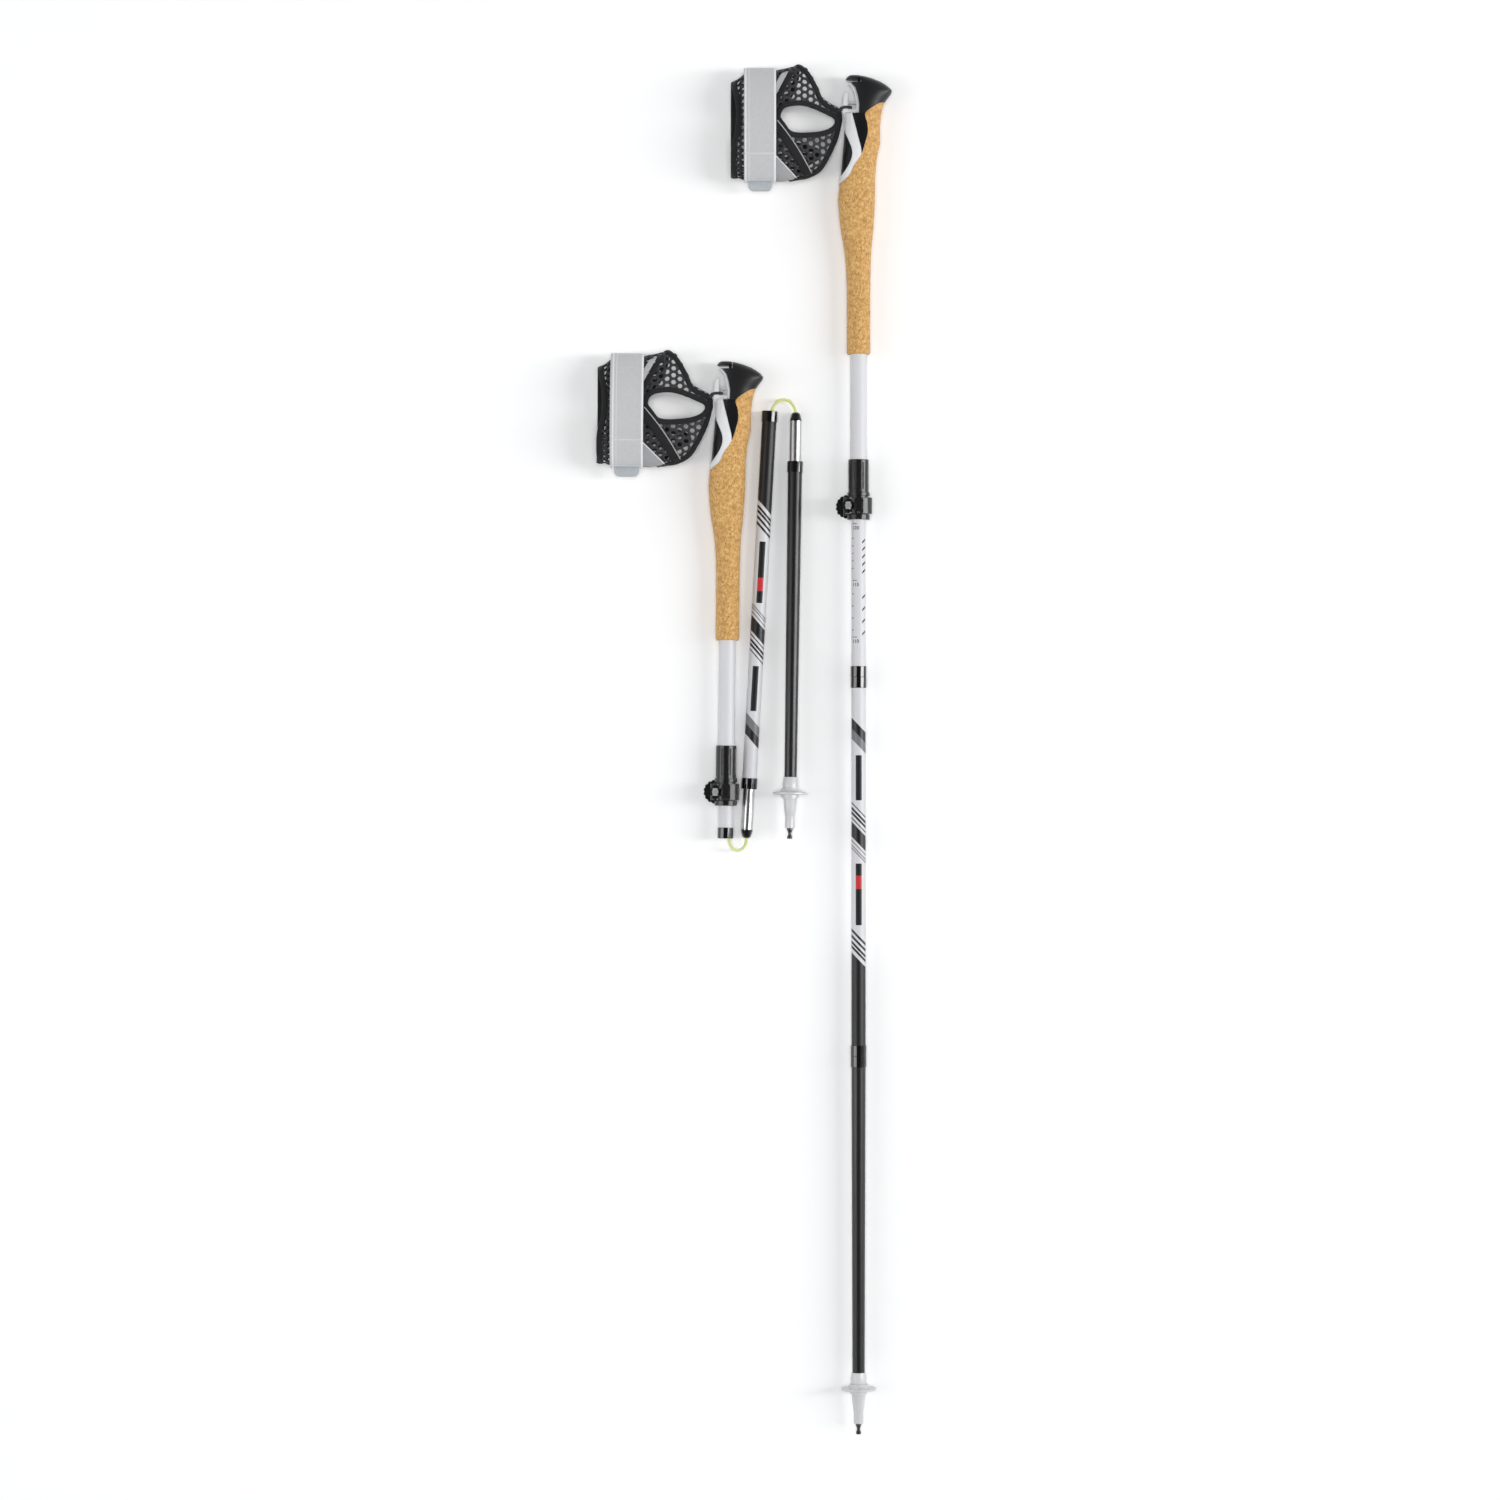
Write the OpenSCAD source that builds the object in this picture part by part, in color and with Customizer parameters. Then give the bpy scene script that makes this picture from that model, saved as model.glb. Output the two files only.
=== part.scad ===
// A pair of folding trekking poles lying on the ground: one put together, one folded.
// Poles are drawn upright in their own frames and then laid down along Y.

/* [Lengths] */
// Length of the open pole, from its head to its tip
pole_len = 1200; // [1120:5:1300]
// Length of the middle section, from joint to joint
mid_len = 335; // [320:1:350]
// Length of the lower section, from its joint to the tip
lower_len = 334; // [320:1:350]
// Gap between the lock and the joint ring under it on the folded pole
fold_gap = 19.4; // [19:0.2:40]
// Length of the scaled tube that slides in the upper tube
adjust_len = 300; // [280:1:330]
// Length of the cork grip with its head
grip_len = 246; // [230:1:260]
// Distance from the head to the top of the lock
lock_depth = 339; // [330:1:360]

/* [Tubes] */
// Outer diameter of the upper tube
upper_d = 14.8; // [14.4:0.1:15.4]
// Outer diameter of the scaled tube and the middle tube
adjust_d = 12.6; // [12.2:0.1:12.8]
// Outer diameter at the foot of the lower tube
lower_foot_d = 11; // [10.4:0.1:11.4]
// Wall of the folding tubes
tube_wall = 1; // [0.9:0.05:1.2]
// Gap between a tube or pin and what it slides in
slide_gap = 0.1; // [0.05:0.01:0.1]

/* [Joints] */
// Outer diameter of the joint rings
ferrule_d = 14; // [13.6:0.1:15]
// Length of each joint ring
ferrule_len = 9.6; // [8:0.2:12]
// Length of the bare joint pin
pin_len = 36; // [30:1:40]
// Length of the pin's root inside its own tube
pin_root = 30; // [20:1:40]
// Length of the nose on the pin
nose_len = 7.5; // [6:0.5:9]
// Bore of the joint pin
pin_bore = 6; // [5:0.5:7]
// Diameter of the tension cord
cord_d = 2.4; // [2:0.1:2.6]

/* [Lock] */
// Length of the lock's plain sleeve
sleeve_len = 29; // [24:1:34]
// Diameter of the lock's plain sleeve
sleeve_d = 18; // [17.4:0.1:19]
// Length of the clamp under the sleeve
clamp_len = 24; // [22:1:28]
// Diameter of the clamp's rims
clamp_d = 19.8; // [19.2:0.1:21]
// Diameter of the setting wheel
wheel_d = 21; // [18:0.5:22]
// Thickness of the setting wheel
wheel_t = 5; // [4:0.2:5]
// Diameter of the T-bolt
bolt_d = 4; // [3:0.5:4]
// Thickness of the clamp lever
lever_t = 2.2; // [1.6:0.1:2.6]

/* [Grip] */
// Diameter of the straight lower hold
hold_d = 20.8; // [20:0.2:23]
// Roundness of the grip's sections
grip_power = 2.2; // [2:0.1:2.6]
// How far the white arms stand out of the grip
arm_proud = 0.5; // [0.2:0.1:0.8]
// Travel of the release button
button_travel = 2.2; // [1.6:0.1:2.2]
// Half width of the hook finger
finger_half = 3.2; // [2.6:0.1:3.4]
// Half width of the pawl
pawl_half = 2; // [1.5:0.1:2.2]
// Thickness of the pawl
pawl_t = 2.4; // [1.8:0.1:2.6]

/* [Strap] */
// Thickness of the mesh
mesh_t = 2; // [1.2:0.1:2.4]
// Thickness of the wrist band
band_t = 1.4; // [1:0.1:1.6]
// Gap between the wrist band and the mesh
band_gap = 0.3; // [0.2:0.1:0.5]
// Depth of the strap's sleeve, from its front to its back
sleeve_depth = 38.2; // [34:0.2:42]
// How much longer the folded pole's strap lies
folded_stretch = 1.04; // [1:0.01:1.06]
// Diameter of the loop on the hook
loop_d = 2.6; // [2:0.1:2.8]

/* [Tip] */
// Diameter of the basket
basket_d = 30.4; // [30:0.2:36]
// Thickness of the basket's rim
basket_t = 1.6; // [1.2:0.1:2.4]
// Diameter of the basket's seat on the tip holder
seat_d = 12.8; // [12:0.1:13]
// Diameter of the tip holder's end
tip_end_d = 8.4; // [8:0.1:9]
// Length of the tip holder
holder_len = 45; // [42:1:48]
// How far the steel tip stands out
steel_out = 9.5; // [8:0.5:10]

/* [Hidden] */
$fn = 48;
eps = 0.01;
big = 80;

// Tubes and joints
tube_bore = adjust_d - 2*tube_wall;
upper_bore = adjust_d + 2*slide_gap;
pin_d = tube_bore - 2*slide_gap;
grip_to_joint = pole_len - mid_len - lower_len;
upper_top = 36;
lock_end = lock_depth + sleeve_len + clamp_len;
upper_end = lock_end - 4;
cord_hole = cord_d + 1.6;
button_at = 15.5;
push_d = 5;
push_out = 1.2;

// Lock: the bolt runs across the slit, left of the tube
bolt_x = -9.3;
bolt_depth = lock_depth + sleeve_len + 0.5*clamp_len;
barrel_y = -9.6;
barrel_d = 4.4;
hub_d = 8.4;
lever_in = 10.3;
lever_h = 14.4;
hub_gap = 6.4;
wheel_y = clamp_d/2 + 0.3;

// The poles lie on the basket's rim and the setting wheel
axis_h = max(basket_d/2, wheel_y + wheel_t);

// Tip
basket_at = 289.5;
hub_len = 8;
holder_top = lower_len - steel_out - holder_len;

// Places in the lying frame
tip_y = -604.5;
open_place = [99, tip_y + pole_len, axis_h];
folded_place = [-14.6, 342.9, axis_h];
folded_tilt = -0.55;
folded_depth = lock_end + fold_gap + ferrule_len;
fold_y = folded_place[1] - folded_depth + 0.1;
mid_place = [2.24, fold_y + pin_len + nose_len, ferrule_d/2];
mid_tilt = 176.85;
fold_top_y = mid_place[1] + mid_len - 0.5;
lower_place = [43, fold_top_y - pin_len - 8.6, ferrule_d/2 + 0.1];
lower_tilt = -0.84;
lower_slope = -asin((basket_d/2 - ferrule_d/2)/(basket_at + hub_len/2));

// Grip sections: distance below the head, front edge, rear edge, half depth
grip_rows = [[0, -8.7, 2.2, 6.5], [1, -10.2, 7.5, 8], [2.7, -11.2, 13.3, 9.2], [5, -11.4, 19, 10.2],
    [7.4, -11.5, 23.4, 10.8], [10.3, -11.6, 27.3, 11.2], [13.3, -11.8, 29.6, 11.4],
    [16.3, -11.9, 28.5, 11.5], [20, -12, 25.6, 11.6], [24.3, -12.1, 22.7, 11.7],
    [29, -12.2, 21.2, 11.8], [36, -12.3, 19.9, 12], [45, -12.4, 19, 12.3], [60, -13.3, 19, 13],
    [73, -14.5, 16.3, 13.4], [87, -15.7, 14.9, 13.8], [99, -17.2, 14.6, 14],
    [110, -18.1, 14.6, 14], [124, -17.2, 13.9, 13.6], [139, -15.3, 12.8, 12.8],
    [153, -12.8, 11.4, 11.6], [167, -11.2, 10.8, 10.8], [188, -hold_d/2, hold_d/2, hold_d/2],
    [grip_len - 1.5, -hold_d/2, hold_d/2, hold_d/2],
    [grip_len, 0.8 - hold_d/2, hold_d/2 - 0.8, hold_d/2 - 0.8]];

// Edge between the cork and the black and white mouldings, from the back to the front
cork_seam = [[34, -21.5], [19.9, -24.4], [13, -28.3], [5.6, -34.5], [7.2, -42.4], [8, -49.5],
    [6.6, -57.4], [2.2, -70.7], [-4.4, -80.4], [-9.3, -90.1], [-24, -100.5]];
arm_edge = [[-6.1, -33.1], [-3.9, -42], [-0.9, -54], [1.9, -65], [2.2, -70.7]];
arm_front = [[-24, -97.5], [-13, -86], [-6.8, -75], [-6.1, -66.3], [-9, -58], [-12.5, -48.3],
    [-12.9, -33.1]];

arm_wall = -8.4;
arm_inside = 8.6;
button_x = 1.9;

// Hook: the slot between the finger and the front strip, and the pawl in it
core_top = -34;
pivot = [2.4, -23.5];
axle_d = 2.4;
loop_at = [-6.7, -28];
slot_floor = loop_at[1] - loop_d/2 - 0.2;
strip_face = [[-9.3, -6.4], [-5.3, -11.2], [-3.2, -18], [-1.9, -25.6], [-2.2, -33.1]];
strip_t = 2.4;
spring_at = [pivot[0] + 3.7, -31];

// Strap: the outline of its front, from the top of the lobe to the bottom
front_edge = [[9.7, -50.8], [2.7, -43.7], [-9.7, -36.7], [-21.2, -31.4], [-26.5, -23.4],
    [-30, -16], [-37, -14.4], [-43.3, -15], [-57.4, -18.6], [-74.2, -26], [-85.7, -33.1],
    [-91.9, -43.7], [-93.7, -54.8]];
strap_left = -108;
band_x = [-101.2, -72.9];
band_centre = -44.4;
band_half = 50.7;
sleeve_half = [[-108, 43.5], [-98, 48.4], [-73, 48.9], [-51, 51.8], [-13, 51.8]];
sleeve_mid = [[-108, -48], [-98, -45], [-73, -44.6], [-51, -42.2], [-13, -42.2]];
half_depth = sleeve_depth/2;
depth_rows = [[-108, half_depth - 1.6], [-100, half_depth], [-66, half_depth], [-40, 12],
    [-25, 6.5], [-13, 2.3]];
lift = axis_h - half_depth - band_t - band_gap - 0.2;
lift_rows = [[-108, lift], [-66, lift], [-40, -3], [-25, -0.5], [-13, 1]];
thumb_hole = [[-69.4, -38.9], [-65.8, -31.4], [-54.8, -28.3], [-43.7, -29.2], [-29, -34.5],
    [-21, -38.9], [-22.8, -45.1], [-32.3, -50.4], [-49, -53], [-59.6, -52.1], [-65, -46]];
tab_x = [-97.6, -76.4];

// Tension cord of the folded pole, with Y counted from the fold at its foot and at its head:
// out of the upper section, through the middle one, into the lower one
cord_foot = [[-18, 58, 15.2], [-17.8, 28, 15.2], [-16.6, 12, 15.1], [-15.6, 2, 14.8],
    [-15, -3, 14.2], [-13.6, -7.4, 12.8], [-10.6, -10.2, 10.8], [-6.8, -10.8, 8.9],
    [-3.2, -9, 7.7], [-0.9, -5.4, 7.1], [-0.2, 0, 7], [1.1, 23, 7], [2.2, 43.5, 7], [6.6, 123, 7]];
cord_head = [[12.1, -155, 7], [17.6, -55, 7], [20.2, -12, 7], [21.2, -5, 7], [22.8, 1.6, 7],
    [25, 6, 6.9], [28.6, 9.4, 6.7], [33.4, 10.4, 6.4], [38.2, 8.8, 6.1], [41.6, 5, 5.9],
    [43.3, 0, 5.9], [43.5, -8, 6.1], [43, -44.6, 7.1], [42.6, -72, 7.9]];
cord_route = concat([for (p = cord_foot) p + [0, fold_y, 0]], [for (p = cord_head) p + [0, fold_top_y, 0]]);

// ---- Helpers ----

function unit(v) = v/norm(v);

// Catmull-Rom curve through the given 2D points
function curve(p, steps) = [
    for (i = [0:len(p) - 2], s = [0:steps - 1])
        let (a = p[max(i - 1, 0)], b = p[i], c = p[i + 1], d = p[min(i + 2, len(p) - 1)], t = s/steps)
            0.5*(2*b + (c - a)*t + (2*a - 5*b + 4*c - d)*t*t + (3*b - a - 3*c + d)*t*t*t),
    p[len(p) - 1]];

// Faces that join rings of n points, closed with flat ends unless the tube is a loop
function ring_faces(rings, n, loop = false) = concat(
    [for (r = [0:rings - (loop ? 1 : 2)], i = [0:n - 1])
        let (a = r*n, b = ((r + 1) % rings)*n, j = (i + 1) % n)
            each [[a + i, a + j, b + i], [a + j, b + j, b + i]]],
    loop ? [] : [[for (i = [n - 1:-1:0]) i], [for (i = [0:n - 1]) (rings - 1)*n + i]]);

// Round tube swept along a route that never runs along Z
module swept(route, d, sides, loop = false) {
    count = len(route);
    points = [for (i = [0:count - 1])
        let (before = route[loop ? (i + count - 1) % count : max(i - 1, 0)],
            after = route[loop ? (i + 1) % count : min(i + 1, count - 1)],
            along = unit(after - before),
            side = unit(cross(along, [0, 0, 1])),
            up = cross(side, along))
            for (k = [0:sides - 1]) route[i] + d/2*(cos(360*k/sides)*side + sin(360*k/sides)*up)];
    polyhedron(points, ring_faces(count, sides, loop), convexity = 6);
}

module pipe(d, bore, low, high) {
    translate([0, 0, low]) difference() {
        cylinder(d = d, h = high - low);
        translate([0, 0, -1]) cylinder(d = bore, h = high - low + 2);
    }
}

// An outline in the plane of X and Z, given a half width along Y
module slab(points, half) {
    rotate([90, 0, 0]) translate([0, 0, -half]) linear_extrude(2*half) polygon(points);
}

module rod_y(x, z, d, low, high) {
    translate([x, low, z]) rotate([-90, 0, 0]) cylinder(d = d, h = high - low);
}

// ---- Places ----

module laid(place, tilt, slope) {
    translate(place) rotate([0, 0, tilt]) rotate([slope, 0, 0]) rotate([-90, 0, 0]) children();
}

module open_grip_place() { laid(open_place, 0, 0) children(); }
module open_joint_place() { open_grip_place() translate([0, 0, -grip_to_joint]) children(); }
module open_foot_place() { open_joint_place() translate([0, 0, -mid_len]) children(); }
module folded_grip_place() { laid(folded_place, folded_tilt, 0) children(); }
module folded_joint_place() {
    folded_grip_place() translate([0, 0, -folded_depth]) children();
}
module folded_mid_place() { laid(mid_place, mid_tilt, 0) children(); }
module folded_foot_place() { laid(lower_place, lower_tilt, lower_slope) children(); }

// ---- Grip ----

// Grip body from one row to another, grown outwards by a thickness
module grip_loft(first, last, grow = 0) {
    sides = 28;
    points = [for (r = [first:last])
        let (row = grip_rows[r], cx = (row[1] + row[2])/2, rx = (row[2] - row[1])/2 + grow,
            ry = row[3] + grow, power = r > 21 ? 2 : grip_power)
            for (k = [0:sides - 1])
                let (c = cos(360*(k + 0.5)/sides), s = sin(360*(k + 0.5)/sides), e = 2/power)
                    [cx + rx*sign(c)*pow(abs(c), e), ry*sign(s)*pow(abs(s), e), -row[0]]];
    polyhedron(points, ring_faces(last - first + 1, sides));
}

function cork_line() = curve(cork_seam, 4);
function arm_outline() = concat(curve(arm_edge, 3), [for (p = cork_line()) if (p[1] < -71) p],
    curve(arm_front, 3));

module grip_cork() {
    color("burlywood") difference() {
        intersection() {
            grip_loft(8, len(grip_rows) - 1);
            slab(concat(cork_line(), [[-40, -100.5], [-40, -400], [40, -400], [40, -21.5]]), big);
        }
        translate([0, 0, -400]) cylinder(d = upper_d, h = 400 - upper_top);
    }
}

// Black head with the pocket of the button, the pawl and its spring
module grip_cap() {
    back = [for (p = strip_face) p + [strip_t, 0]];
    color("#1a1a1c") difference() {
        grip_loft(0, 11);
        slab(concat([for (p = cork_line()) if (p[1] > core_top) p], [[5.6, core_top], [-50, core_top],
            [-50, -70], [60, -70], [60, -21.5]]), big);
        slab(concat([[-40, 5], [button_x + 0.3, 5], [button_x + 0.3, -6.4]], back,
            [[back[4][0], -50], [-40, -50]]), big);
        slab([[-1.3, 0], [button_x + 0.5, 0], [button_x + 0.5, -14.2], [pivot[0] + 6, -14.2],
            [pivot[0] + 6, -27.8], [-6, -27.8], [-6, -16], [-1.3, -16]], pawl_half + 0.4);
        rod_y(pivot[0], pivot[1], axle_d + 2*slide_gap, -pawl_half - 2.8, pawl_half + 2.8);
        translate([spring_at[0], 0, spring_at[1]]) cylinder(d = 4.4, h = 8);
    }
}

// Black core round the top of the tube, let in under the white arms
module grip_core() {
    seam = [for (p = cork_line()) if (p[1] < core_top) p];
    color("#202022") difference() {
        grip_loft(10, 16);
        slab(concat([[-50, core_top], [5.6, core_top]], seam, [[60, -101], [60, 0], [-50, 0]]), big);
        intersection() {
            slab(arm_outline(), big);
            slab([[-30, 0], [arm_wall, 0], [arm_wall, -120], [-30, -120]], big - 1);
        }
        for (s = [-1, 1]) translate([0, s*(arm_inside + big), 0]) slab(arm_outline(), big);
        translate([0, 0, -200]) cylinder(d = upper_d, h = 200 - upper_top);
    }
}

// White moulding: the arms that wrap both sides, and the hook with its front strip
module trigger_frame() {
    finger = [[-11.9, -40], [-14.1, -33], [-14.1, -29.8], [-13.7, -21.2], [-12.8, -16.6],
        [-11.6, -14.6], [-10.4, -14], [-9.5, -14.6], [-9.1, -16.5], [-9.3, -22], [-9.5, slot_floor],
        [-2, slot_floor], [-2.2, core_top + 0.1], [-8.8, core_top + 0.1], [-8.8, -40]];
    strip = concat(strip_face, [for (i = [4:-1:0]) strip_face[i] + [strip_t - eps, 0]]);
    color("whitesmoke") union() {
        difference() {
            intersection() {
                grip_loft(9, 17, arm_proud);
                slab(arm_outline(), big);
            }
            slab([[arm_wall, -20], [40, -20], [40, -120], [arm_wall, -120]], arm_inside);
            slab([[-30, -20], [arm_wall + 1, -20], [arm_wall + 1, -40], [-30, -40]], finger_half);
        }
        slab(finger, finger_half);
        difference() {
            slab(strip, 6);
            slab([[-12, -15], [4, -15], [4, -27.4], [-12, -27.4]], pawl_half + 0.4);
        }
    }
}

// Pawl on its own stub axle
module trigger_gate() {
    reach = pivot[0] + 8.7;
    color("gainsboro") translate([pivot[0], 0, pivot[1]]) union() {
        slab([[-reach, -pawl_t/2], [4.6, -pawl_t/2], [4.6, pawl_t/2], [-reach + 1.4, pawl_t/2]], pawl_half);
        rod_y(0, 0, 3.4, -pawl_half, pawl_half);
        rod_y(0, 0, axle_d, -pawl_half - 2.6, pawl_half + 2.6);
    }
}

// Front wedge of the head with the foot that works the pawl
module release_button() {
    tail_top = pivot[1] + pawl_t/2;
    color("#151517") union() {
        intersection() {
            grip_loft(0, 4);
            slab([[-20, 2], [button_x, 2], [button_x, -3], [-20, -3.9]], big);
        }
        slab([[-0.9, -2.5], [button_x - 0.2, -2.5], [button_x - 0.2, tail_top + 7],
            [pivot[0] + 4.2, tail_top + 7], [pivot[0] + 4.2, tail_top + 0.2],
            [pivot[0] + 3.2, tail_top + 0.2], [pivot[0] + 3.2, tail_top + 5.4], [-0.9, tail_top + 5.4]],
            pawl_half - 0.4);
    }
}

module gate_spring() {
    turns = 4;
    steps = 10;
    rise = pivot[1] - pawl_t/2 - spring_at[1] - 0.9;
    color("silver") swept([for (i = [0:turns*steps])
        [spring_at[0] + 1.6*cos(360*i/steps), 1.6*sin(360*i/steps),
            spring_at[1] + 0.45 + rise*i/(turns*steps)]], 0.5, 5);
}

// ---- Upper tube and lock ----

module upper_tube() {
    color("white") pipe(upper_d, upper_bore, -upper_end, -upper_top);
}

module lock_collar() {
    rim = 3.2;
    color("#232325") difference() {
        union() {
            pipe(sleeve_d, upper_d, -lock_depth - sleeve_len, -lock_depth);
            pipe(clamp_d - 2.4, upper_d, -upper_end, -lock_depth - sleeve_len);
            pipe(clamp_d, upper_d, -lock_depth - sleeve_len - rim, -lock_depth - sleeve_len);
            pipe(clamp_d, upper_bore, -lock_end, -upper_end);
            pipe(clamp_d, upper_d, -upper_end, -upper_end + 0.5);
            difference() {
                translate([bolt_x - 4.2, barrel_y + hub_d/2 + 0.3, -bolt_depth - 8])
                    cube([8.5, wheel_y - 0.3 - barrel_y - hub_d/2 - 0.3, 16]);
                translate([0, 0, -lock_end]) cylinder(d = upper_d, h = clamp_len + 9);
            }
        }
        translate([-big, -0.6, -lock_end - 1]) cube([big - upper_bore/2 + 1, 1.2, clamp_len - 3]);
        rod_y(bolt_x, -bolt_depth, bolt_d + 0.2, -20, 20);
        for (a = [0:45:315]) rotate([0, 0, a + 22.5]) translate([sleeve_d/2 + 0.5, 0, -lock_depth - sleeve_len + 3])
            cylinder(d = 2, h = sleeve_len - 6);
    }
}

module lock_bolt() {
    color("lightsteelblue") union() {
        translate([bolt_x, barrel_y, -bolt_depth - lever_h/2]) cylinder(d = barrel_d, h = lever_h);
        rod_y(bolt_x, -bolt_depth, bolt_d, barrel_y, wheel_y + wheel_t - 0.6);
        rod_y(bolt_x, -bolt_depth, bolt_d + 1.6, barrel_y - 2.6, barrel_y + 2);
    }
}

// Lever: two knuckles on the barrel and a curved handle round the front
module lock_lever() {
    handle_from = 236;
    handle_to = 340;
    color("#19191b") difference() {
        union() {
            translate([bolt_x, barrel_y, -bolt_depth - lever_h/2]) cylinder(d = hub_d, h = lever_h);
            translate([0, 0, -bolt_depth - lever_h/2]) difference() {
                linear_extrude(lever_h) polygon(concat(
                    [for (a = [handle_from:4:handle_to]) (lever_in + lever_t)*[cos(a), sin(a)]],
                    [for (a = [handle_to:-4:handle_from]) lever_in*[cos(a), sin(a)]]));
                translate([0, -13, -1]) rotate([0, 0, 0]) cylinder(d = 3, h = 3);
            }
        }
        translate([bolt_x, barrel_y, -bolt_depth - lever_h/2 - 1])
            cylinder(d = barrel_d + 2*slide_gap, h = lever_h + 2);
        translate([bolt_x - 10, barrel_y - 6, -bolt_depth - hub_gap/2]) cube([15.4, 12, hub_gap]);
        for (s = [-1, 1]) translate([0, -lever_in - lever_t - 0.6, -bolt_depth + s*4.6])
            rotate([0, 90, 0]) cylinder(d = 2.4, h = 24, center = true);
    }
}

module lock_wheel() {
    notches = 16;
    color("#1c1c1e") translate([bolt_x, wheel_y, -bolt_depth]) rotate([-90, 0, 0]) difference() {
        union() {
            cylinder(d = wheel_d, h = wheel_t - 0.8);
            translate([0, 0, wheel_t - 0.8]) cylinder(d1 = wheel_d, d2 = wheel_d - 1.6, h = 0.8);
        }
        translate([0, 0, -1]) cylinder(d = bolt_d + 2*slide_gap, h = wheel_t + 2);
        for (i = [0:notches - 1]) rotate([0, 0, 360*i/notches])
            translate([wheel_d/2 + 0.5, 0, -1]) cylinder(d = 2.4, h = wheel_t + 2, $fn = 24);
    }
}

// ---- Folding sections, each drawn under its joint plane ----

module adjust_tube() {
    color("white") difference() {
        pipe(adjust_d, tube_bore, 0, adjust_len);
        rod_y(0, button_at, push_d + 2*slide_gap, 0, 10);
    }
}

module adjust_ferrule() {
    color("#141416") pipe(ferrule_d, adjust_d, 0, ferrule_len);
}

// Round button in the side of the tube, its inner end shaped to the bore
module push_button() {
    color("silver") difference() {
        rod_y(0, button_at, push_d, tube_bore/2 - 1.2, adjust_d/2 + push_out);
        translate([0, 0, button_at - 4]) cylinder(d = tube_bore + 0.1, h = 8);
    }
}

module mid_tube() {
    color("white") pipe(adjust_d, tube_bore, -mid_len, 0);
}

module mid_ferrules() {
    color("#141416") union() {
        pipe(ferrule_d, adjust_d, -ferrule_len, 0);
        pipe(ferrule_d, adjust_d, -mid_len, -mid_len + ferrule_len);
    }
}

// Steel pin: its root fills the tube's bore and its bare end slides in the next section
module connector(dimple) {
    color("silver") difference() {
        union() {
            translate([0, 0, -pin_root]) cylinder(d = tube_bore, h = pin_root);
            cylinder(d = pin_d, h = pin_len);
        }
        translate([0, 0, -pin_root - 1]) cylinder(d = pin_bore, h = pin_root + pin_len + 2);
        if (dimple) rod_y(0, button_at, push_d + 0.6, tube_bore/2 - 1.8, 10);
    }
}

module nose() {
    color("#19191b") rotate_extrude() polygon([[cord_hole/2, pin_len - 6], [pin_bore/2, pin_len - 6],
        [pin_bore/2, pin_len], [pin_d/2, pin_len], [pin_d/2, pin_len + 1],
        [pin_d/2 - 1.4, pin_len + nose_len - 1.4], [pin_d/2 - 2.2, pin_len + nose_len - 0.4],
        [cord_hole/2 + 0.5, pin_len + nose_len], [cord_hole/2, pin_len + nose_len - 0.5]]);
}

module lower_tube() {
    foot = holder_top + 22;
    color("#1b1b1d") difference() {
        translate([0, 0, -foot]) union() {
            cylinder(d = lower_foot_d, h = 24);
            translate([0, 0, 24]) cylinder(d1 = lower_foot_d, d2 = adjust_d, h = foot - 24 - ferrule_len);
            translate([0, 0, foot - ferrule_len]) cylinder(d = adjust_d, h = ferrule_len);
        }
        translate([0, 0, -pin_root - 8]) cylinder(d = tube_bore, h = pin_root + 9);
        translate([0, 0, -foot - 1]) cylinder(d = lower_foot_d - 2*tube_wall, h = foot);
    }
}

module lower_collar() {
    color("#141416") pipe(ferrule_d, adjust_d, -ferrule_len, 0);
}

// White cone with the basket's seat and the shoulder above it
module tip_holder() {
    end = -lower_len + steel_out;
    top = -holder_top;
    seat_top = -basket_at;
    seat_end = seat_top - hub_len;
    color("whitesmoke") rotate_extrude() polygon([[lower_foot_d/2, top - 22], [lower_foot_d/2, top],
        [lower_foot_d/2 + 0.6, top], [seat_d/2 + 0.5, top - 6], [seat_d/2 + 0.5, seat_top + 0.3],
        [seat_d/2, seat_top + 0.3], [seat_d/2, seat_end - 1.5], [seat_d/2 - 0.6, seat_end - 2],
        [tip_end_d/2 + 0.9, seat_end - 12], [tip_end_d/2, end + 10], [tip_end_d/2, end],
        [2.2, end], [2.2, end + 6], [0, end + 6], [0, top - 22]]);
}

// Steel tip: a shank, a flared crown and its claws
module carbide_tip() {
    end = -lower_len;
    color("silver") difference() {
        rotate_extrude() polygon([[0, end + steel_out + 6], [2.2, end + steel_out + 6],
            [2.2, end + steel_out], [2.6, end + steel_out], [2.6, end + steel_out - 1.4],
            [1.5, end + 5.4], [1.5, end + 3.6], [2.4, end + 1.6], [2.1, end], [1.3, end + 0.9], [0, end + 1.6]]);
        for (a = [0:60:300]) rotate([0, 0, a]) translate([2.5, 0, end - 1]) cylinder(d = 1.1, h = 3, $fn = 16);
    }
}

// Small round basket with holes round its hub
module basket() {
    hub = seat_d + 2*slide_gap;
    holes = 8;
    color("whitesmoke") difference() {
        union() {
            pipe(hub + 2.6, hub, -basket_at - hub_len, -basket_at);
            translate([0, 0, -basket_at]) rotate_extrude() polygon([[hub/2, -2.4], [hub/2 + 1.3, -1],
                [basket_d/2 - 5, -2.6], [basket_d/2, -3.8], [basket_d/2, -3.8 - basket_t],
                [basket_d/2 - 5, -2.6 - basket_t], [hub/2, -1.2 - basket_t - 1.2]]);
        }
        for (i = [0:holes - 1]) rotate([0, 0, 360*i/holes])
            translate([basket_d/2 - 4.3, 0, -basket_at - 10]) cylinder(d = 2.6, h = 12, $fn = 24);
    }
}

// ---- Tension cord ----

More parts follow.
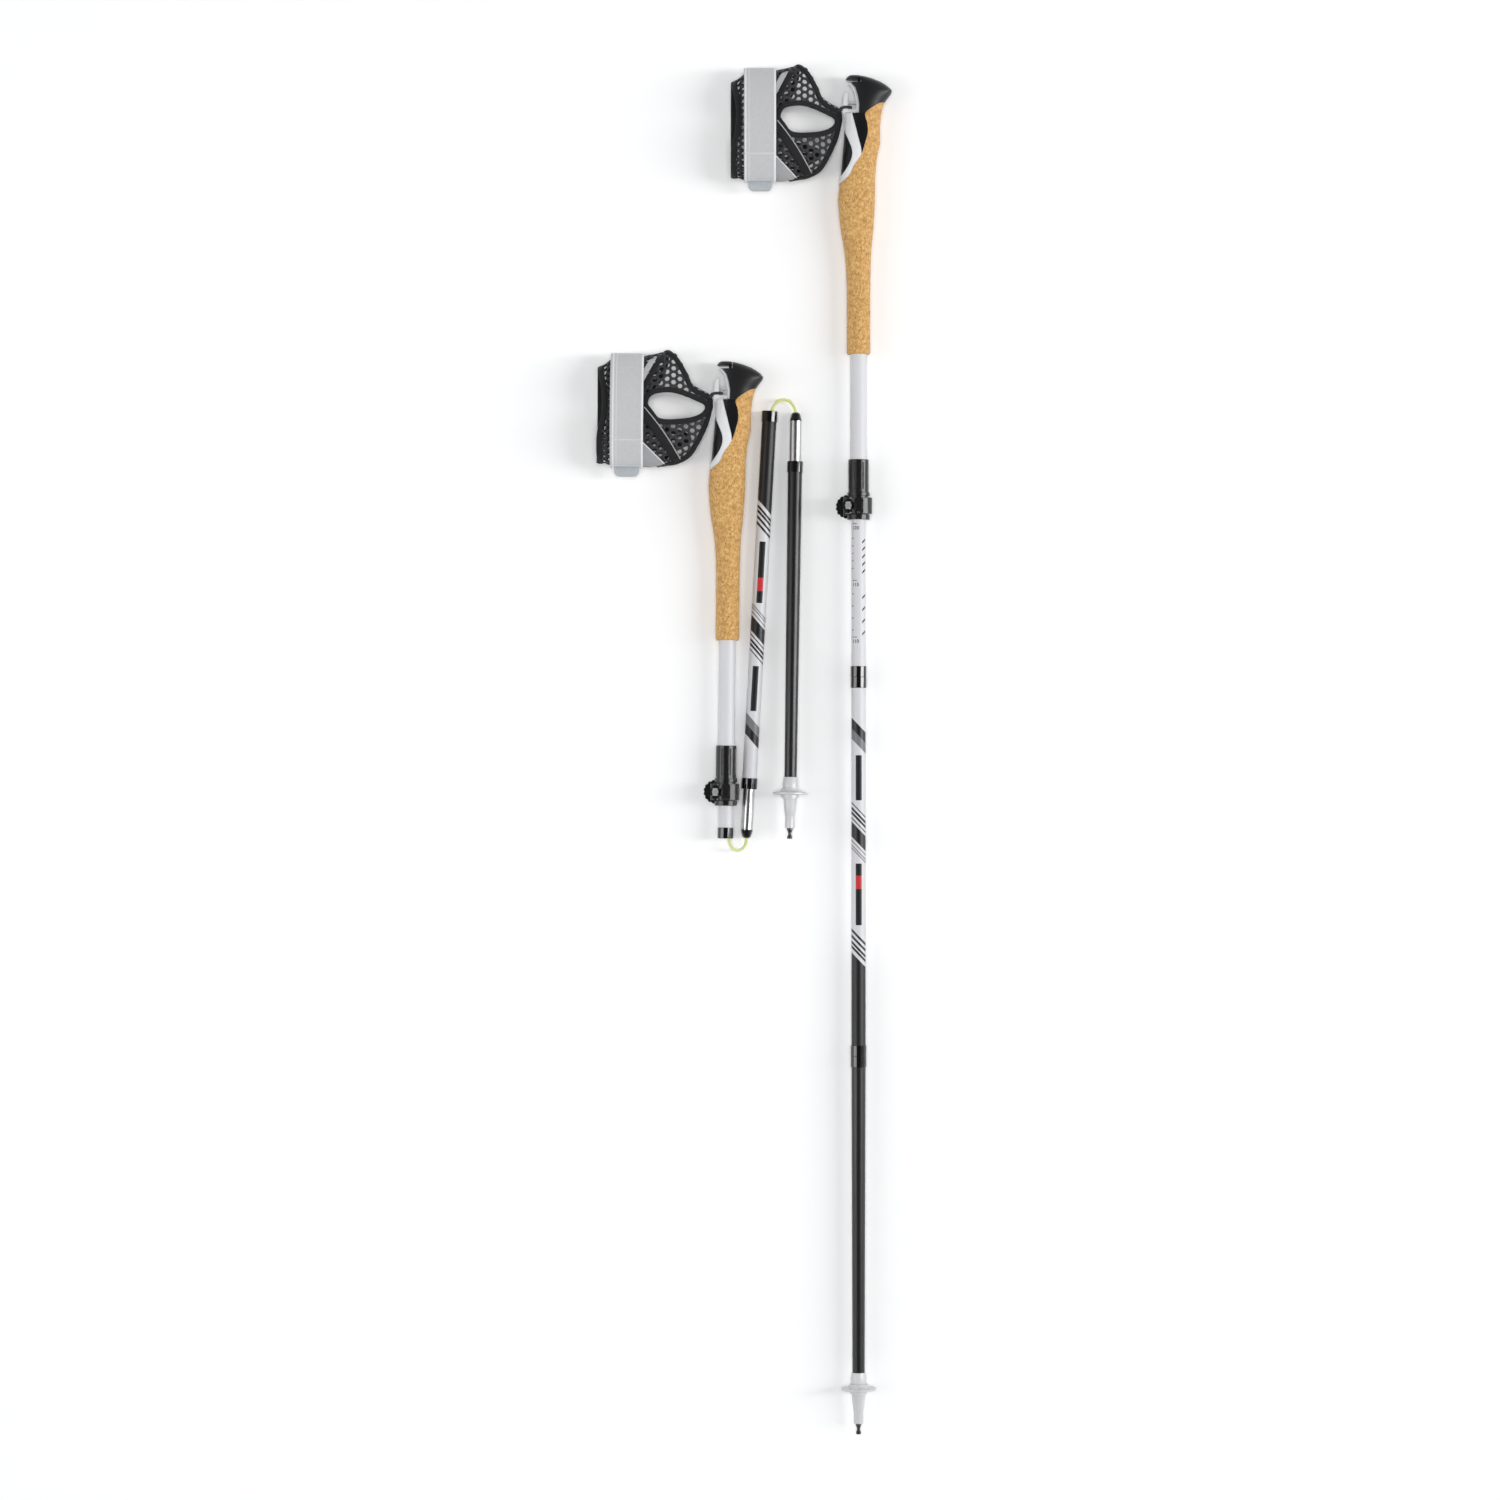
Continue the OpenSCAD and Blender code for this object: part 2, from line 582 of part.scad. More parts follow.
module open_cord() {
    color("yellowgreen") translate([0, 0, -mid_len - pin_root - 10])
        cylinder(d = cord_d, h = mid_len + 2*pin_root + pin_len + 30);
}

module folded_cord() {
    color("yellowgreen") swept(cord_route, cord_d, 8);
}

// ---- Strap, drawn beside the grip; stretch lengthens it away from the hook ----

function stretched(x, stretch) = loop_at[0] + (x - loop_at[0])*stretch;

module strap_loop() {
    neck = finger_half + 0.4 + loop_d/2;
    level = loop_at[1];
    half = [[loop_at[0], 0, level], [loop_at[0], neck - 1.6, level], [loop_at[0] - 0.6, neck - 0.5, level],
        [loop_at[0] - 1.8, neck, level], [-12, neck, level], [-15.4, neck - 0.3, level - 0.8],
        [-17.6, neck - 2.2, level - 3], [-18.8, 1.5, level - 5.2]];
    route = concat(half, [for (i = [len(half) - 1:-1:1]) [half[i][0], -half[i][1], half[i][2]]]);
    color("#202022") swept(route, loop_d, 8, true);
}

// Point of the sleeve: angle from the near side, share of the way to its front edge, inset
function sleeve_point(angle, share, inset, stretch) =
    let (level = lookup(-60, sleeve_mid) + lookup(-60, sleeve_half)*sin(angle),
        table = [for (i = [len(front_edge) - 1:-1:0]) front_edge[i]],
        near = lookup(level, table),
        far = -52 - 14*abs(cos(angle)),
        front = cos(angle) > 0 ? near : far,
        x = strap_left + (front - strap_left)*share,
        height = lookup(x, sleeve_half) - inset,
        depth = max(lookup(x, depth_rows) - inset, 0.2))
        [stretched(x, stretch), lookup(x, lift_rows) - depth*cos(angle), lookup(x, sleeve_mid) + height*sin(angle)];

module strap_mesh(stretch = 1) {
    around = 48;
    along = 8;
    wall = [for (inset = [0, mesh_t], v = [0:along])
        for (k = [0:around - 1]) sleeve_point(360*k/around, (inset == 0 ? v : along - v)/along, inset, stretch)];
    rings = 2*(along + 1);
    color("#2a2a2e") difference() {
        polyhedron(wall, ring_faces(rings, around, true), convexity = 8);
        slab([for (p = curve(concat(thumb_hole, [thumb_hole[0]]), 2)) [stretched(p[0], stretch), p[1]]], big);
    }
}

module strap_band(stretch = 1) {
    width = band_x[1] - band_x[0];
    outer = half_depth + band_gap + band_t;
    left = stretched(band_x[0], stretch);
    // Ellipse of the sleeve's section, drawn with Z up and the near side to the left
    module ring(grow) {
        polygon([for (a = [0:7.5:352.5]) [lift - (outer + grow)*cos(a), band_centre + (band_half + grow)*sin(a)]]);
    }
    color("silver") union() {
        translate([left, 0, 0]) rotate([90, 0, 90]) linear_extrude(width*stretch) difference() {
            ring(0);
            ring(-band_t);
        }
        translate([stretched(tab_x[0], stretch), 0, 0]) rotate([90, 0, 90])
            linear_extrude((tab_x[1] - tab_x[0])*stretch) polygon([[-17.8, -86.6], [-15.8, -87.6],
                [-6.6, -102.2], [-8.2, -103.2]]);
    }
}

open_grip_place() grip_cork();  // open_grip_cork
open_grip_place() grip_cap();  // open_grip_cap
open_grip_place() grip_core();  // open_grip_core
open_grip_place() trigger_frame();  // open_trigger_frame
open_grip_place() upper_tube();  // open_upper_tube
open_grip_place() lock_collar();  // open_lock_collar
open_grip_place() lock_bolt();  // open_lock_bolt
open_grip_place() gate_spring();  // open_gate_spring
open_grip_place() trigger_gate();  // open_trigger_gate
open_grip_place() release_button();  // open_release_button
open_grip_place() lock_lever();  // open_lock_lever
open_grip_place() lock_wheel();  // open_lock_wheel
open_joint_place() adjust_tube();  // open_adjust_tube
open_joint_place() adjust_ferrule();  // open_adjust_ferrule
open_joint_place() push_button();  // open_push_button
open_joint_place() mid_tube();  // open_mid_tube
open_joint_place() mid_ferrules();  // open_mid_ferrules
open_joint_place() connector(true);  // open_mid_connector
open_joint_place() nose();  // open_mid_nose
open_foot_place() lower_tube();  // open_lower_tube
open_foot_place() lower_collar();  // open_lower_collar
open_foot_place() connector(false);  // open_lower_connector
open_foot_place() nose();  // open_lower_nose
open_foot_place() tip_holder();  // open_tip_holder
open_foot_place() carbide_tip();  // open_carbide_tip
open_foot_place() basket();  // open_basket
open_joint_place() open_cord();
open_grip_place() strap_loop();  // open_strap_loop
open_grip_place() strap_mesh();  // open_strap_mesh
open_grip_place() strap_band();  // open_strap_band
folded_grip_place() grip_cork();  // folded_grip_cork
folded_grip_place() grip_cap();  // folded_grip_cap
folded_grip_place() grip_core();  // folded_grip_core
folded_grip_place() trigger_frame();  // folded_trigger_frame
folded_grip_place() upper_tube();  // folded_upper_tube
folded_grip_place() lock_collar();  // folded_lock_collar
folded_grip_place() lock_bolt();  // folded_lock_bolt
folded_grip_place() gate_spring();  // folded_gate_spring
folded_grip_place() trigger_gate();  // folded_trigger_gate
folded_grip_place() release_button();  // folded_release_button
folded_grip_place() lock_lever();  // folded_lock_lever
folded_grip_place() lock_wheel();  // folded_lock_wheel
folded_joint_place() adjust_tube();  // folded_adjust_tube
folded_joint_place() adjust_ferrule();  // folded_adjust_ferrule
folded_joint_place() push_button();  // folded_push_button
folded_mid_place() mid_tube();  // folded_mid_tube
folded_mid_place() mid_ferrules();  // folded_mid_ferrules
folded_mid_place() connector(true);  // folded_mid_connector
folded_mid_place() nose();  // folded_mid_nose
folded_foot_place() lower_tube();  // folded_lower_tube
folded_foot_place() lower_collar();  // folded_lower_collar
folded_foot_place() connector(false);  // folded_lower_connector
folded_foot_place() nose();  // folded_lower_nose
folded_foot_place() tip_holder();  // folded_tip_holder
folded_foot_place() carbide_tip();  // folded_carbide_tip
folded_foot_place() basket();  // folded_basket
folded_cord();
folded_grip_place() strap_loop();  // folded_strap_loop
folded_grip_place() strap_mesh(folded_stretch);  // folded_strap_mesh
folded_grip_place() strap_band(folded_stretch);  // folded_strap_band
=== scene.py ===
"""Looks of a pair of folding trekking poles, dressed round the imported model.

Lengths named _MM and all tables are in millimetres, in a pole's own upright frame: X to the
right in the photograph, Z up the pole, -Y towards the viewer. Only the cord's route is in the
model's frame, measured along Y from the fold that it goes round.
"""
import math

import bmesh
import bpy
from mathutils import Matrix, Vector


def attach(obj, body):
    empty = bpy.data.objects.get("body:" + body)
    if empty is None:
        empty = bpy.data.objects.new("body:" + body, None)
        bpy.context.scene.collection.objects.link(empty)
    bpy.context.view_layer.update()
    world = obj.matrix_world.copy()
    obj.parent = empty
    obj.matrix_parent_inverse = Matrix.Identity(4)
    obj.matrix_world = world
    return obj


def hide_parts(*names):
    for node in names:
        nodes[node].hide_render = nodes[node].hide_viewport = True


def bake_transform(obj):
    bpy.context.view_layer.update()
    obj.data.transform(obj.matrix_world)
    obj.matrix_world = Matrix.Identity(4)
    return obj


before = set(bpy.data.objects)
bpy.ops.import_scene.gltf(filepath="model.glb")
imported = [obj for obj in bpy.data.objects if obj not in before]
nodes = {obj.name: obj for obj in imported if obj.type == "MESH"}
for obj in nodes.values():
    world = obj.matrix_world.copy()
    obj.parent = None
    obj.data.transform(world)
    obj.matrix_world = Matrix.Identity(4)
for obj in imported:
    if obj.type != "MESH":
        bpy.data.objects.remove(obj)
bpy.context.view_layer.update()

MM = 0.001
scene = bpy.context.scene

# ---- Camera: straight above, as in the photograph ----

VIEW_WIDTH = 1.3256
VIEW_CENTRE = (0.0031, 0.0)
AXIS_HEIGHT = 0.0152
LENS_MM, SENSOR_MM = 100, 36

camera = bpy.data.objects.new("camera", bpy.data.cameras.new("camera"))
camera.data.lens = LENS_MM
camera.data.sensor_width = SENSOR_MM
camera.location = (*VIEW_CENTRE, AXIS_HEIGHT + VIEW_WIDTH * LENS_MM / SENSOR_MM)
camera.data.clip_end = 50
scene.collection.objects.link(camera)
scene.camera = camera

# ---- Places of the sections, as the CAD lays them down ----


def laid(place, tilt=0.0, slope=0.0):
    """From a pole's upright frame in millimetres to the model's frame in metres."""
    return (
        Matrix.Scale(MM, 4)
        @ Matrix.Translation(place)
        @ Matrix.Rotation(math.radians(tilt), 4, "Z")
        @ Matrix.Rotation(math.radians(slope - 90), 4, "X")
    )


def below(place, distance):
    """The same frame, moved down the pole."""
    return place @ Matrix.Translation((0, 0, -distance))


# Distances of the joints below the cap's top, in millimetres
OPEN_UPPER_JOINT, OPEN_LOWER_JOINT, FOLDED_JOINT = 531, 866, 421
OPEN_GRIP = laid((99, 595.5, 15.2))
FOLDED_GRIP = laid((-14.6, 342.9, 15.2), -0.55)
# The folded foot rises from its ring, 7 mm up, to its basket's middle, 15.2 mm up and 293.5 mm on
FOOT_SLOPE = -math.degrees(math.asin((15.2 - 7) / 293.5))
PLACES = {
    "open": {
        "grip": OPEN_GRIP,
        "adjust": below(OPEN_GRIP, OPEN_UPPER_JOINT),
        "mid": below(OPEN_GRIP, OPEN_UPPER_JOINT),
        "lower": below(OPEN_GRIP, OPEN_LOWER_JOINT),
    },
    "folded": {
        "grip": FOLDED_GRIP,
        "adjust": below(FOLDED_GRIP, FOLDED_JOINT),
        "mid": laid((2.24, -34.5, 7), 176.85),
        "lower": laid((43, 255.4, 7.1), -0.84, FOOT_SLOPE),
    },
}
STRETCH = {"open": 1.0, "folded": 1.04}
POLES = ("open", "folded")

# ---- Helpers for curves and meshes ----


def smooth(points, steps, closed=False):
    """Catmull-Rom curve through the points, given as tuples of any length."""
    count = len(points)
    at = (lambda i: points[i % count]) if closed else (lambda i: points[min(max(i, 0), count - 1)])
    out = []
    for i in range(count if closed else count - 1):
        a, b, c, d = at(i - 1), at(i), at(i + 1), at(i + 2)
        for s in range(steps):
            t = s / steps
            out.append(
                tuple(
                    0.5 * (2 * q + (r - p) * t + (2 * p - 5 * q + 4 * r - u) * t * t
                           + (3 * q - p - 3 * r + u) * t ** 3)
                    for p, q, r, u in zip(a, b, c, d)
                )
            )
    return out if closed else out + [tuple(points[-1])]


def lookup(x, table):
    """Straight line between the rows of a table of (x, value), flat beyond its ends."""
    rows = sorted(table)
    if x <= rows[0][0]:
        return rows[0][1]
    for (x0, v0), (x1, v1) in zip(rows, rows[1:]):
        if x <= x1:
            return v0 + (v1 - v0) * (x - x0) / max(x1 - x0, 1e-9)
    return rows[-1][1]


def mesh_object(name, points, faces, place, uvs=None):
    """A smooth mesh from points in a section's frame; uvs holds one pair per point."""
    mesh = bpy.data.meshes.new(name)
    mesh.from_pydata([place @ Vector(p) for p in points], [], faces)
    if uvs:
        layer = mesh.uv_layers.new(name="UVMap")
        for loop in mesh.loops:
            layer.data[loop.index].uv = uvs[loop.vertex_index]
    mesh.polygons.foreach_set("use_smooth", [True] * len(mesh.polygons))
    mesh.update()
    obj = bpy.data.objects.new(name, mesh)
    scene.collection.objects.link(obj)
    return obj


def face_out(mesh):
    """Makes the mesh's faces agree, outwards where it is closed."""
    bm = bmesh.new()
    bm.from_mesh(mesh)
    bmesh.ops.recalc_face_normals(bm, faces=bm.faces)
    bm.to_mesh(mesh)
    bm.free()


def loft(name, rings, place, closed=False, turns=False):
    """A tube through rings of points. Its UV is in mm, round a ring and along the tube.

    With turns, U is the share of a turn instead.
    """
    n, count = len(rings[0]), len(rings)
    points = [p for ring in rings for p in ring]
    around = [0.0]
    for k in range(n):
        side = (Vector(rings[0][(k + 1) % n]) - Vector(rings[0][k])).length
        around.append(around[-1] + (1 / n if turns else side))
    run, uvs = 0.0, []
    for r, ring in enumerate(rings):
        if r:
            run += (Vector(ring[0]) - Vector(rings[r - 1][0])).length
        uvs += [(around[k], run) for k in range(n)]
    faces = []
    for r in range(count if closed else count - 1):
        for k in range(n):
            a, b, j = r * n, (r + 1) % count * n, (k + 1) % n
            faces.append((a + k, a + j, b + j, b + k))
    if not closed:
        faces += [tuple(range(n))[::-1], tuple((count - 1) * n + k for k in range(n))]
    obj = mesh_object(name, points, faces, place, uvs)
    layer = obj.data.uv_layers[0].data
    # A face over the UV's start would span all of it backwards, so its low corners move up
    lap = run + (Vector(rings[0][0]) - Vector(rings[-1][0])).length if closed else run
    for face in obj.data.polygons[:(count if closed else count - 1) * n]:
        for axis, whole in ((0, around[-1]), (1, lap)):
            values = [layer[i].uv[axis] for i in face.loop_indices]
            if max(values) - min(values) > whole / 2:
                for i in face.loop_indices:
                    if layer[i].uv[axis] < whole / 2:
                        layer[i].uv[axis] += whole
    face_out(obj.data)
    return obj


def oval(half_width, half_height, sides=12, power=2.6):
    """Points of a soft-cornered tape's section, as (across, up)."""
    out = []
    for k in range(sides):
        c, s = math.cos(math.tau * k / sides), math.sin(math.tau * k / sides)
        out.append((half_width * math.copysign(abs(c) ** (2 / power), c),
                    half_height * math.copysign(abs(s) ** (2 / power), s)))
    return out


def tape(name, path, normals, section, place, closed=False, shift=0.0):
    """Sweeps a section along a path whose up direction is given at each point."""
    rings, count = [], len(path)
    for i, p in enumerate(path):
        p = Vector(p)
        before = Vector(path[i - 1] if i or closed else path[0])
        after = Vector(path[(i + 1) % count] if closed or i < count - 1 else path[-1])
        along = (after - before).normalized()
        up = Vector(normals[i])
        side = along.cross(up).normalized()
        up = side.cross(along).normalized()
        rings.append([p + (shift + a) * side + b * up for a, b in section])
    return loft(name, rings, place, closed)


# ---- Tension cord of the folded pole, on the CAD's route ----

CORD_MM = 2.4
FOLD_Y, FOLD_TOP_Y = -78.0, 300.0
CORD_FOOT = [
    (-18, 58, 15.2), (-17.8, 28, 15.2), (-16.6, 12, 15.1), (-15.6, 2, 14.8), (-15, -3, 14.2),
    (-13.6, -7.4, 12.8), (-10.6, -10.2, 10.8), (-6.8, -10.8, 8.9), (-3.2, -9, 7.7),
    (-0.9, -5.4, 7.1), (-0.2, 0, 7), (1.1, 23, 7), (2.2, 43.5, 7), (6.6, 123, 7),
]
CORD_HEAD = [
    (12.1, -155, 7), (17.6, -55, 7), (20.2, -12, 7), (21.2, -5, 7), (22.8, 1.6, 7), (25, 6, 6.9),
    (28.6, 9.4, 6.7), (33.4, 10.4, 6.4), (38.2, 8.8, 6.1), (41.6, 5, 5.9), (43.3, 0, 5.9),
    (43.5, -8, 6.1), (43, -44.6, 7.1), (42.6, -72, 7.9),
]


def cord_piece(name, route):
    """A round cord through points in mm of the model's frame."""
    path = smooth(route, 5)
    rings = []
    for i, p in enumerate(path):
        along = (Vector(path[min(i + 1, len(path) - 1)]) - Vector(path[max(i - 1, 0)])).normalized()
        side = along.cross(Vector((0, 0, 1))).normalized()
        up = side.cross(along)
        rings.append([Vector(p) + CORD_MM / 2 * (math.cos(math.tau * k / 16) * side
                      + math.sin(math.tau * k / 16) * up) for k in range(16)])
    obj = loft(name, rings, Matrix.Scale(MM, 4), turns=True)
    return obj


foot_route = [(x, y + FOLD_Y, z) for x, y, z in CORD_FOOT]
head_route = [(x, y + FOLD_TOP_Y, z) for x, y, z in CORD_HEAD]
foot_cord = cord_piece("folded_cord_foot", foot_route + head_route[:1])
head_cord = cord_piece("folded_cord_head", head_route)
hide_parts("folded_cord")
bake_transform(foot_cord)
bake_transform(head_cord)

# ---- Materials ----


class Surface:
    """A node material, with its pattern laid out in a section's frame in millimetres."""

    def __init__(self, name, place=None):
        self.material = bpy.data.materials.new(name)
        self.material.use_nodes = True
        self.tree = self.material.node_tree
        self.shader = self.tree.nodes["Principled BSDF"]
        coordinates = self.tree.nodes.new("ShaderNodeTexCoord")
        self.uv = coordinates.outputs["UV"]
        self.here = coordinates.outputs["Object"]
        if place is not None:
            mapping = self.tree.nodes.new("ShaderNodeMapping")
            mapping.vector_type = "TEXTURE"
            mapping.inputs["Location"].default_value = place.to_translation()
            mapping.inputs["Rotation"].default_value = place.to_euler()
            mapping.inputs["Scale"].default_value = (MM, MM, MM)
            self.tree.links.new(self.here, mapping.inputs["Vector"])
            self.here = mapping.outputs["Vector"]
        else:
            self.here = self.scaled(self.here, (1 / MM,) * 3)

    def put(self, socket, value):
        if isinstance(value, bpy.types.NodeSocket):
            self.tree.links.new(value, socket)
        elif isinstance(value, tuple) and len(value) == 3 and socket.type == "RGBA":
            socket.default_value = (*value, 1)
        else:
            socket.default_value = value

    def set(self, **values):
        """Shader sockets by name, with _ for a space."""
        for name, value in values.items():
            self.put(self.shader.inputs[name.replace("_", " ")], value)
        return self

    def scaled(self, vector, factors):
        node = self.tree.nodes.new("ShaderNodeVectorMath")
        node.operation = "MULTIPLY"
        self.put(node.inputs[0], vector)
        node.inputs[1].default_value = factors
        return node.outputs[0]

    def split(self, vector):
        node = self.tree.nodes.new("ShaderNodeSeparateXYZ")
        self.put(node.inputs[0], vector)
        return node.outputs["X"], node.outputs["Y"], node.outputs["Z"]

    def math(self, operation, *values):
        node = self.tree.nodes.new("ShaderNodeMath")
        node.operation = operation
        for socket, value in zip(node.inputs, values):
            self.put(socket, value)
        return node.outputs[0]

    def between(self, value, low, high):
        """1 where the value lies between low and high, and 0 elsewhere."""
        above, under = self.math("GREATER_THAN", value, low), self.math("LESS_THAN", value, high)
        return self.math("MULTIPLY", above, under)

    def noise(self, size, detail=2.0, grain=(1, 1, 1), rough=0.5):
        """Noise whose features are about size mm, stretched where grain is below 1."""
        node = self.tree.nodes.new("ShaderNodeTexNoise")
        self.put(node.inputs["Vector"], self.scaled(self.here, grain))
        node.inputs["Scale"].default_value = 1 / size
        node.inputs["Detail"].default_value = detail
        node.inputs["Roughness"].default_value = rough
        return node.outputs["Fac"]

    def cells(self, size, grain=(1, 1, 1), kind="Distance"):
        node = self.tree.nodes.new("ShaderNodeTexVoronoi")
        self.put(node.inputs["Vector"], self.scaled(self.here, grain))
        node.inputs["Scale"].default_value = 1 / size
        return node.outputs[kind]

    def ramp(self, value, stops, steps=False):
        """Colour ramp; a stop is (place, grey) or (place, (r, g, b))."""
        node = self.tree.nodes.new("ShaderNodeValToRGB")
        ramp = node.color_ramp
        ramp.interpolation = "CONSTANT" if steps else "LINEAR"
        while len(ramp.elements) < len(stops):
            ramp.elements.new(1)
        for element, (place, colour) in zip(ramp.elements, stops):
            element.position = place
            element.color = (*(colour if isinstance(colour, tuple) else (colour,) * 3), 1)
        self.put(node.inputs["Fac"], value)
        return node.outputs["Color"]

    def mix(self, share, a, b, how="MIX"):
        node = self.tree.nodes.new("ShaderNodeMix")
        node.data_type = "RGBA"
        node.blend_type = how
        self.put(node.inputs[0], share)
        self.put(node.inputs[6], a)
        self.put(node.inputs[7], b)
        return node.outputs[2]

    def rounded(self, radius_mm):
        """Shades sharp edges as if they were rounded off."""
        node = self.tree.nodes.new("ShaderNodeBevel")
        node.samples = 6
        node.inputs["Radius"].default_value = radius_mm * MM
        self.edge_normal = node.outputs["Normal"]
        return self

    def bump(self, height, depth_mm, strength=1.0):
        node = self.tree.nodes.new("ShaderNodeBump")
        if getattr(self, "edge_normal", None):
            self.put(node.inputs["Normal"], self.edge_normal)
        node.inputs["Strength"].default_value = strength
        node.inputs["Distance"].default_value = depth_mm * MM
        self.put(node.inputs["Height"], height)
        self.put(self.shader.inputs["Normal"], node.outputs["Normal"])
        return self


GRANULE_MM = 1.5
GROOVED = (-204, -174)
GROOVE_SLANT, GROOVE_TURN, GROOVE_WIDTH = 0.55, 0.62, 0.14


def cork(name, place):
    """Agglomerated cork: light granules, darker joints between them and brown pores."""
    s = Surface(name, place)
    plain = s.here
    shift = s.tree.nodes.new("ShaderNodeTexNoise")
    s.put(shift.inputs["Vector"], s.scaled(plain, (0.9,) * 3))
    mixed = s.tree.nodes.new("ShaderNodeVectorMath")
    mixed.operation = "ADD"
    s.put(mixed.inputs[0], plain)
    s.put(mixed.inputs[1], s.scaled(shift.outputs["Color"], (1.5,) * 3))
    s.here = mixed.outputs[0]
    granules = s.cells(GRANULE_MM, (1, 1, 0.75), "Color")
    joint_share = s.cells(GRANULE_MM, (1, 1, 0.75))
    s.here = plain
    mottle = s.math("ADD", s.math("MULTIPLY", s.split(granules)[0], 0.5),
                    s.math("MULTIPLY", s.noise(5, 4), 0.5))
    tone = s.ramp(mottle, [(0.2, (0.44, 0.235, 0.07)), (0.5, (0.62, 0.36, 0.125)),
                           (0.85, (0.76, 0.50, 0.21))])
    joints = s.ramp(joint_share, [(0.4, 1.0), (0.8, 0.0)])
    pores = s.ramp(s.noise(0.9, 3, (1, 1, 0.45), 0.7), [(0.58, 0.0), (0.67, 1.0)])
    streaks = s.ramp(s.noise(1.6, 3, (1, 1, 0.5), 0.65), [(0.56, 0.0), (0.7, 0.8)])
    share = s.math("MULTIPLY", s.math("SUBTRACT", 1.0, joints), 0.3)
    colour = s.mix(share, tone, (0.48, 0.24, 0.075))
    colour = s.mix(streaks, colour, (0.50, 0.26, 0.085))
    colour = s.mix(s.math("MULTIPLY", pores, 0.85), colour, (0.17, 0.075, 0.025))
    x, _, z = s.split(s.here)
    slanted = s.math("ADD", z, s.math("MULTIPLY", x, GROOVE_SLANT))
    groove = s.math("ABSOLUTE", s.math("SINE", s.math("MULTIPLY", slanted, GROOVE_TURN)))
    groove = s.math("MULTIPLY", s.math("LESS_THAN", groove, GROOVE_WIDTH), s.between(z, *GROOVED))
    grain = s.math("MULTIPLY", s.noise(1.2, 4), 0.5)
    height = s.math("SUBTRACT", grain, s.math("ADD", pores, groove))
    s.set(Base_Color=colour, Roughness=0.72, Specular_IOR_Level=0.35)
    return s.bump(height, 0.25, 0.7).material


def moulded(name, colour, roughness, grain_mm, grain_depth, coat=0.0, place=None, edge=0.0):
    """Plastic or rubber with a fine moulded grain and slightly uneven gloss."""
    s = Surface(name, place)
    if edge:
        s.rounded(edge)
    uneven = s.noise(18, 3)
    dull = tuple(0.82 * c for c in colour)
    s.set(Base_Color=s.mix(uneven, dull, colour), Coat_Weight=coat,
          Roughness=s.math("ADD", roughness - 0.05, s.math("MULTIPLY", uneven, 0.1)))
    return s.bump(s.noise(grain_mm, 2), grain_depth, 0.6).material


def brushed(name, colour, roughness, place, grain=(3, 3, 0.05)):
    """Turned or drawn metal with fine lines along or round it."""
    s = Surface(name, place)
    lines = s.noise(0.5, 3, grain, 0.6)
    s.set(Base_Color=s.mix(lines, tuple(0.8 * c for c in colour), colour), Metallic=1.0,
          Roughness=s.math("ADD", roughness - 0.06, s.math("MULTIPLY", lines, 0.12)))
    return s.bump(lines, 0.006, 0.5).material


WHITE = (0.60, 0.60, 0.62)
INK = (0.006, 0.006, 0.007)
GREY = (0.16, 0.16, 0.17)
RED = (0.48, 0.025, 0.03)
# Length over which the middle tube's stripes are laid out, and their slant
MID_SPAN = 340.0
SLANT = 1.05
# Length scale: height of its top figure's middle, and rows of marks, each as its first mark's
# distance below that, its pitch and its count
SCALE_TOP = 131.6
SLASH_X, SLASH_SLANT = 4.4, 1.15
SLASH_ROWS = ((11.7, 6.65, 5), (60.7, 10.7, 4))
TICK_ROWS = ((9.3, 6.6, 5), (58.3, 10.6, 4))
FIGURE_LINES = (-3.6, 50.0, 3)


def lacquer(s, colour):
    """Satin paint on a tube: a thin clear coat, a trace of orange peel and fine dust."""
    dust = s.ramp(s.noise(0.7, 2), [(0.66, 0.0), (0.8, 0.06)])
    s.set(Base_Color=s.mix(dust, colour, (0.4, 0.4, 0.4)), Coat_Weight=0.12, Coat_Roughness=0.25,
          Roughness=s.math("ADD", 0.42, s.math("MULTIPLY", s.noise(30, 2), 0.08)))
    return s.bump(s.noise(1.6, 1), 0.002, 0.5).material


def striped_tube(name, place):
    """Middle section: white, with plain slanted stripes and bars, and black at its foot."""
    s = Surface(name, place)
    x, y, z = s.split(s.here)
    down = s.math("MULTIPLY", z, -1.0)
    slanted = s.math("DIVIDE", s.math("SUBTRACT", down, s.math("MULTIPLY", x, SLANT)), MID_SPAN)
    bands = [(0, 42, WHITE), (42, 51, INK), (51, 60, GREY), (60, 116, WHITE)]
    bands += [(116 + 4.4 * i, 118 + 4.4 * i, INK) for i in range(4)]
    bands += [(134, 147, INK)]
    bands += [(149.6 + 3.2 * i, 151 + 3.2 * i, GREY) for i in range(3)]
    bands += [(160, 228, WHITE)]
    bands += [(228 + 5 * i, 230.4 + 5 * i, INK) for i in range(4)]
    bands += [(248.4, MID_SPAN, INK)]
    stops, end = [], 0
    for low, high, colour in bands:
        if low > end:
            stops.append((end / MID_SPAN, WHITE))
        stops.append((low / MID_SPAN, colour))
        end = high
    colour = s.ramp(slanted, stops, steps=True)
    depth = s.math("DIVIDE", down, MID_SPAN)
    inside = s.ramp(depth, [(0, 0.0), (68 / MID_SPAN, 1.0), (108 / MID_SPAN, 0.0),
                            (164 / MID_SPAN, 1.0), (218 / MID_SPAN, 0.0)], steps=True)
    bar = s.ramp(depth, [(0, INK), (174 / MID_SPAN, RED), (186 / MID_SPAN, INK)], steps=True)
    front = s.math("MULTIPLY", s.between(x, -2.7, 2.7), s.math("LESS_THAN", y, 0.0))
    return lacquer(s, s.mix(s.math("MULTIPLY", inside, front), colour, bar))


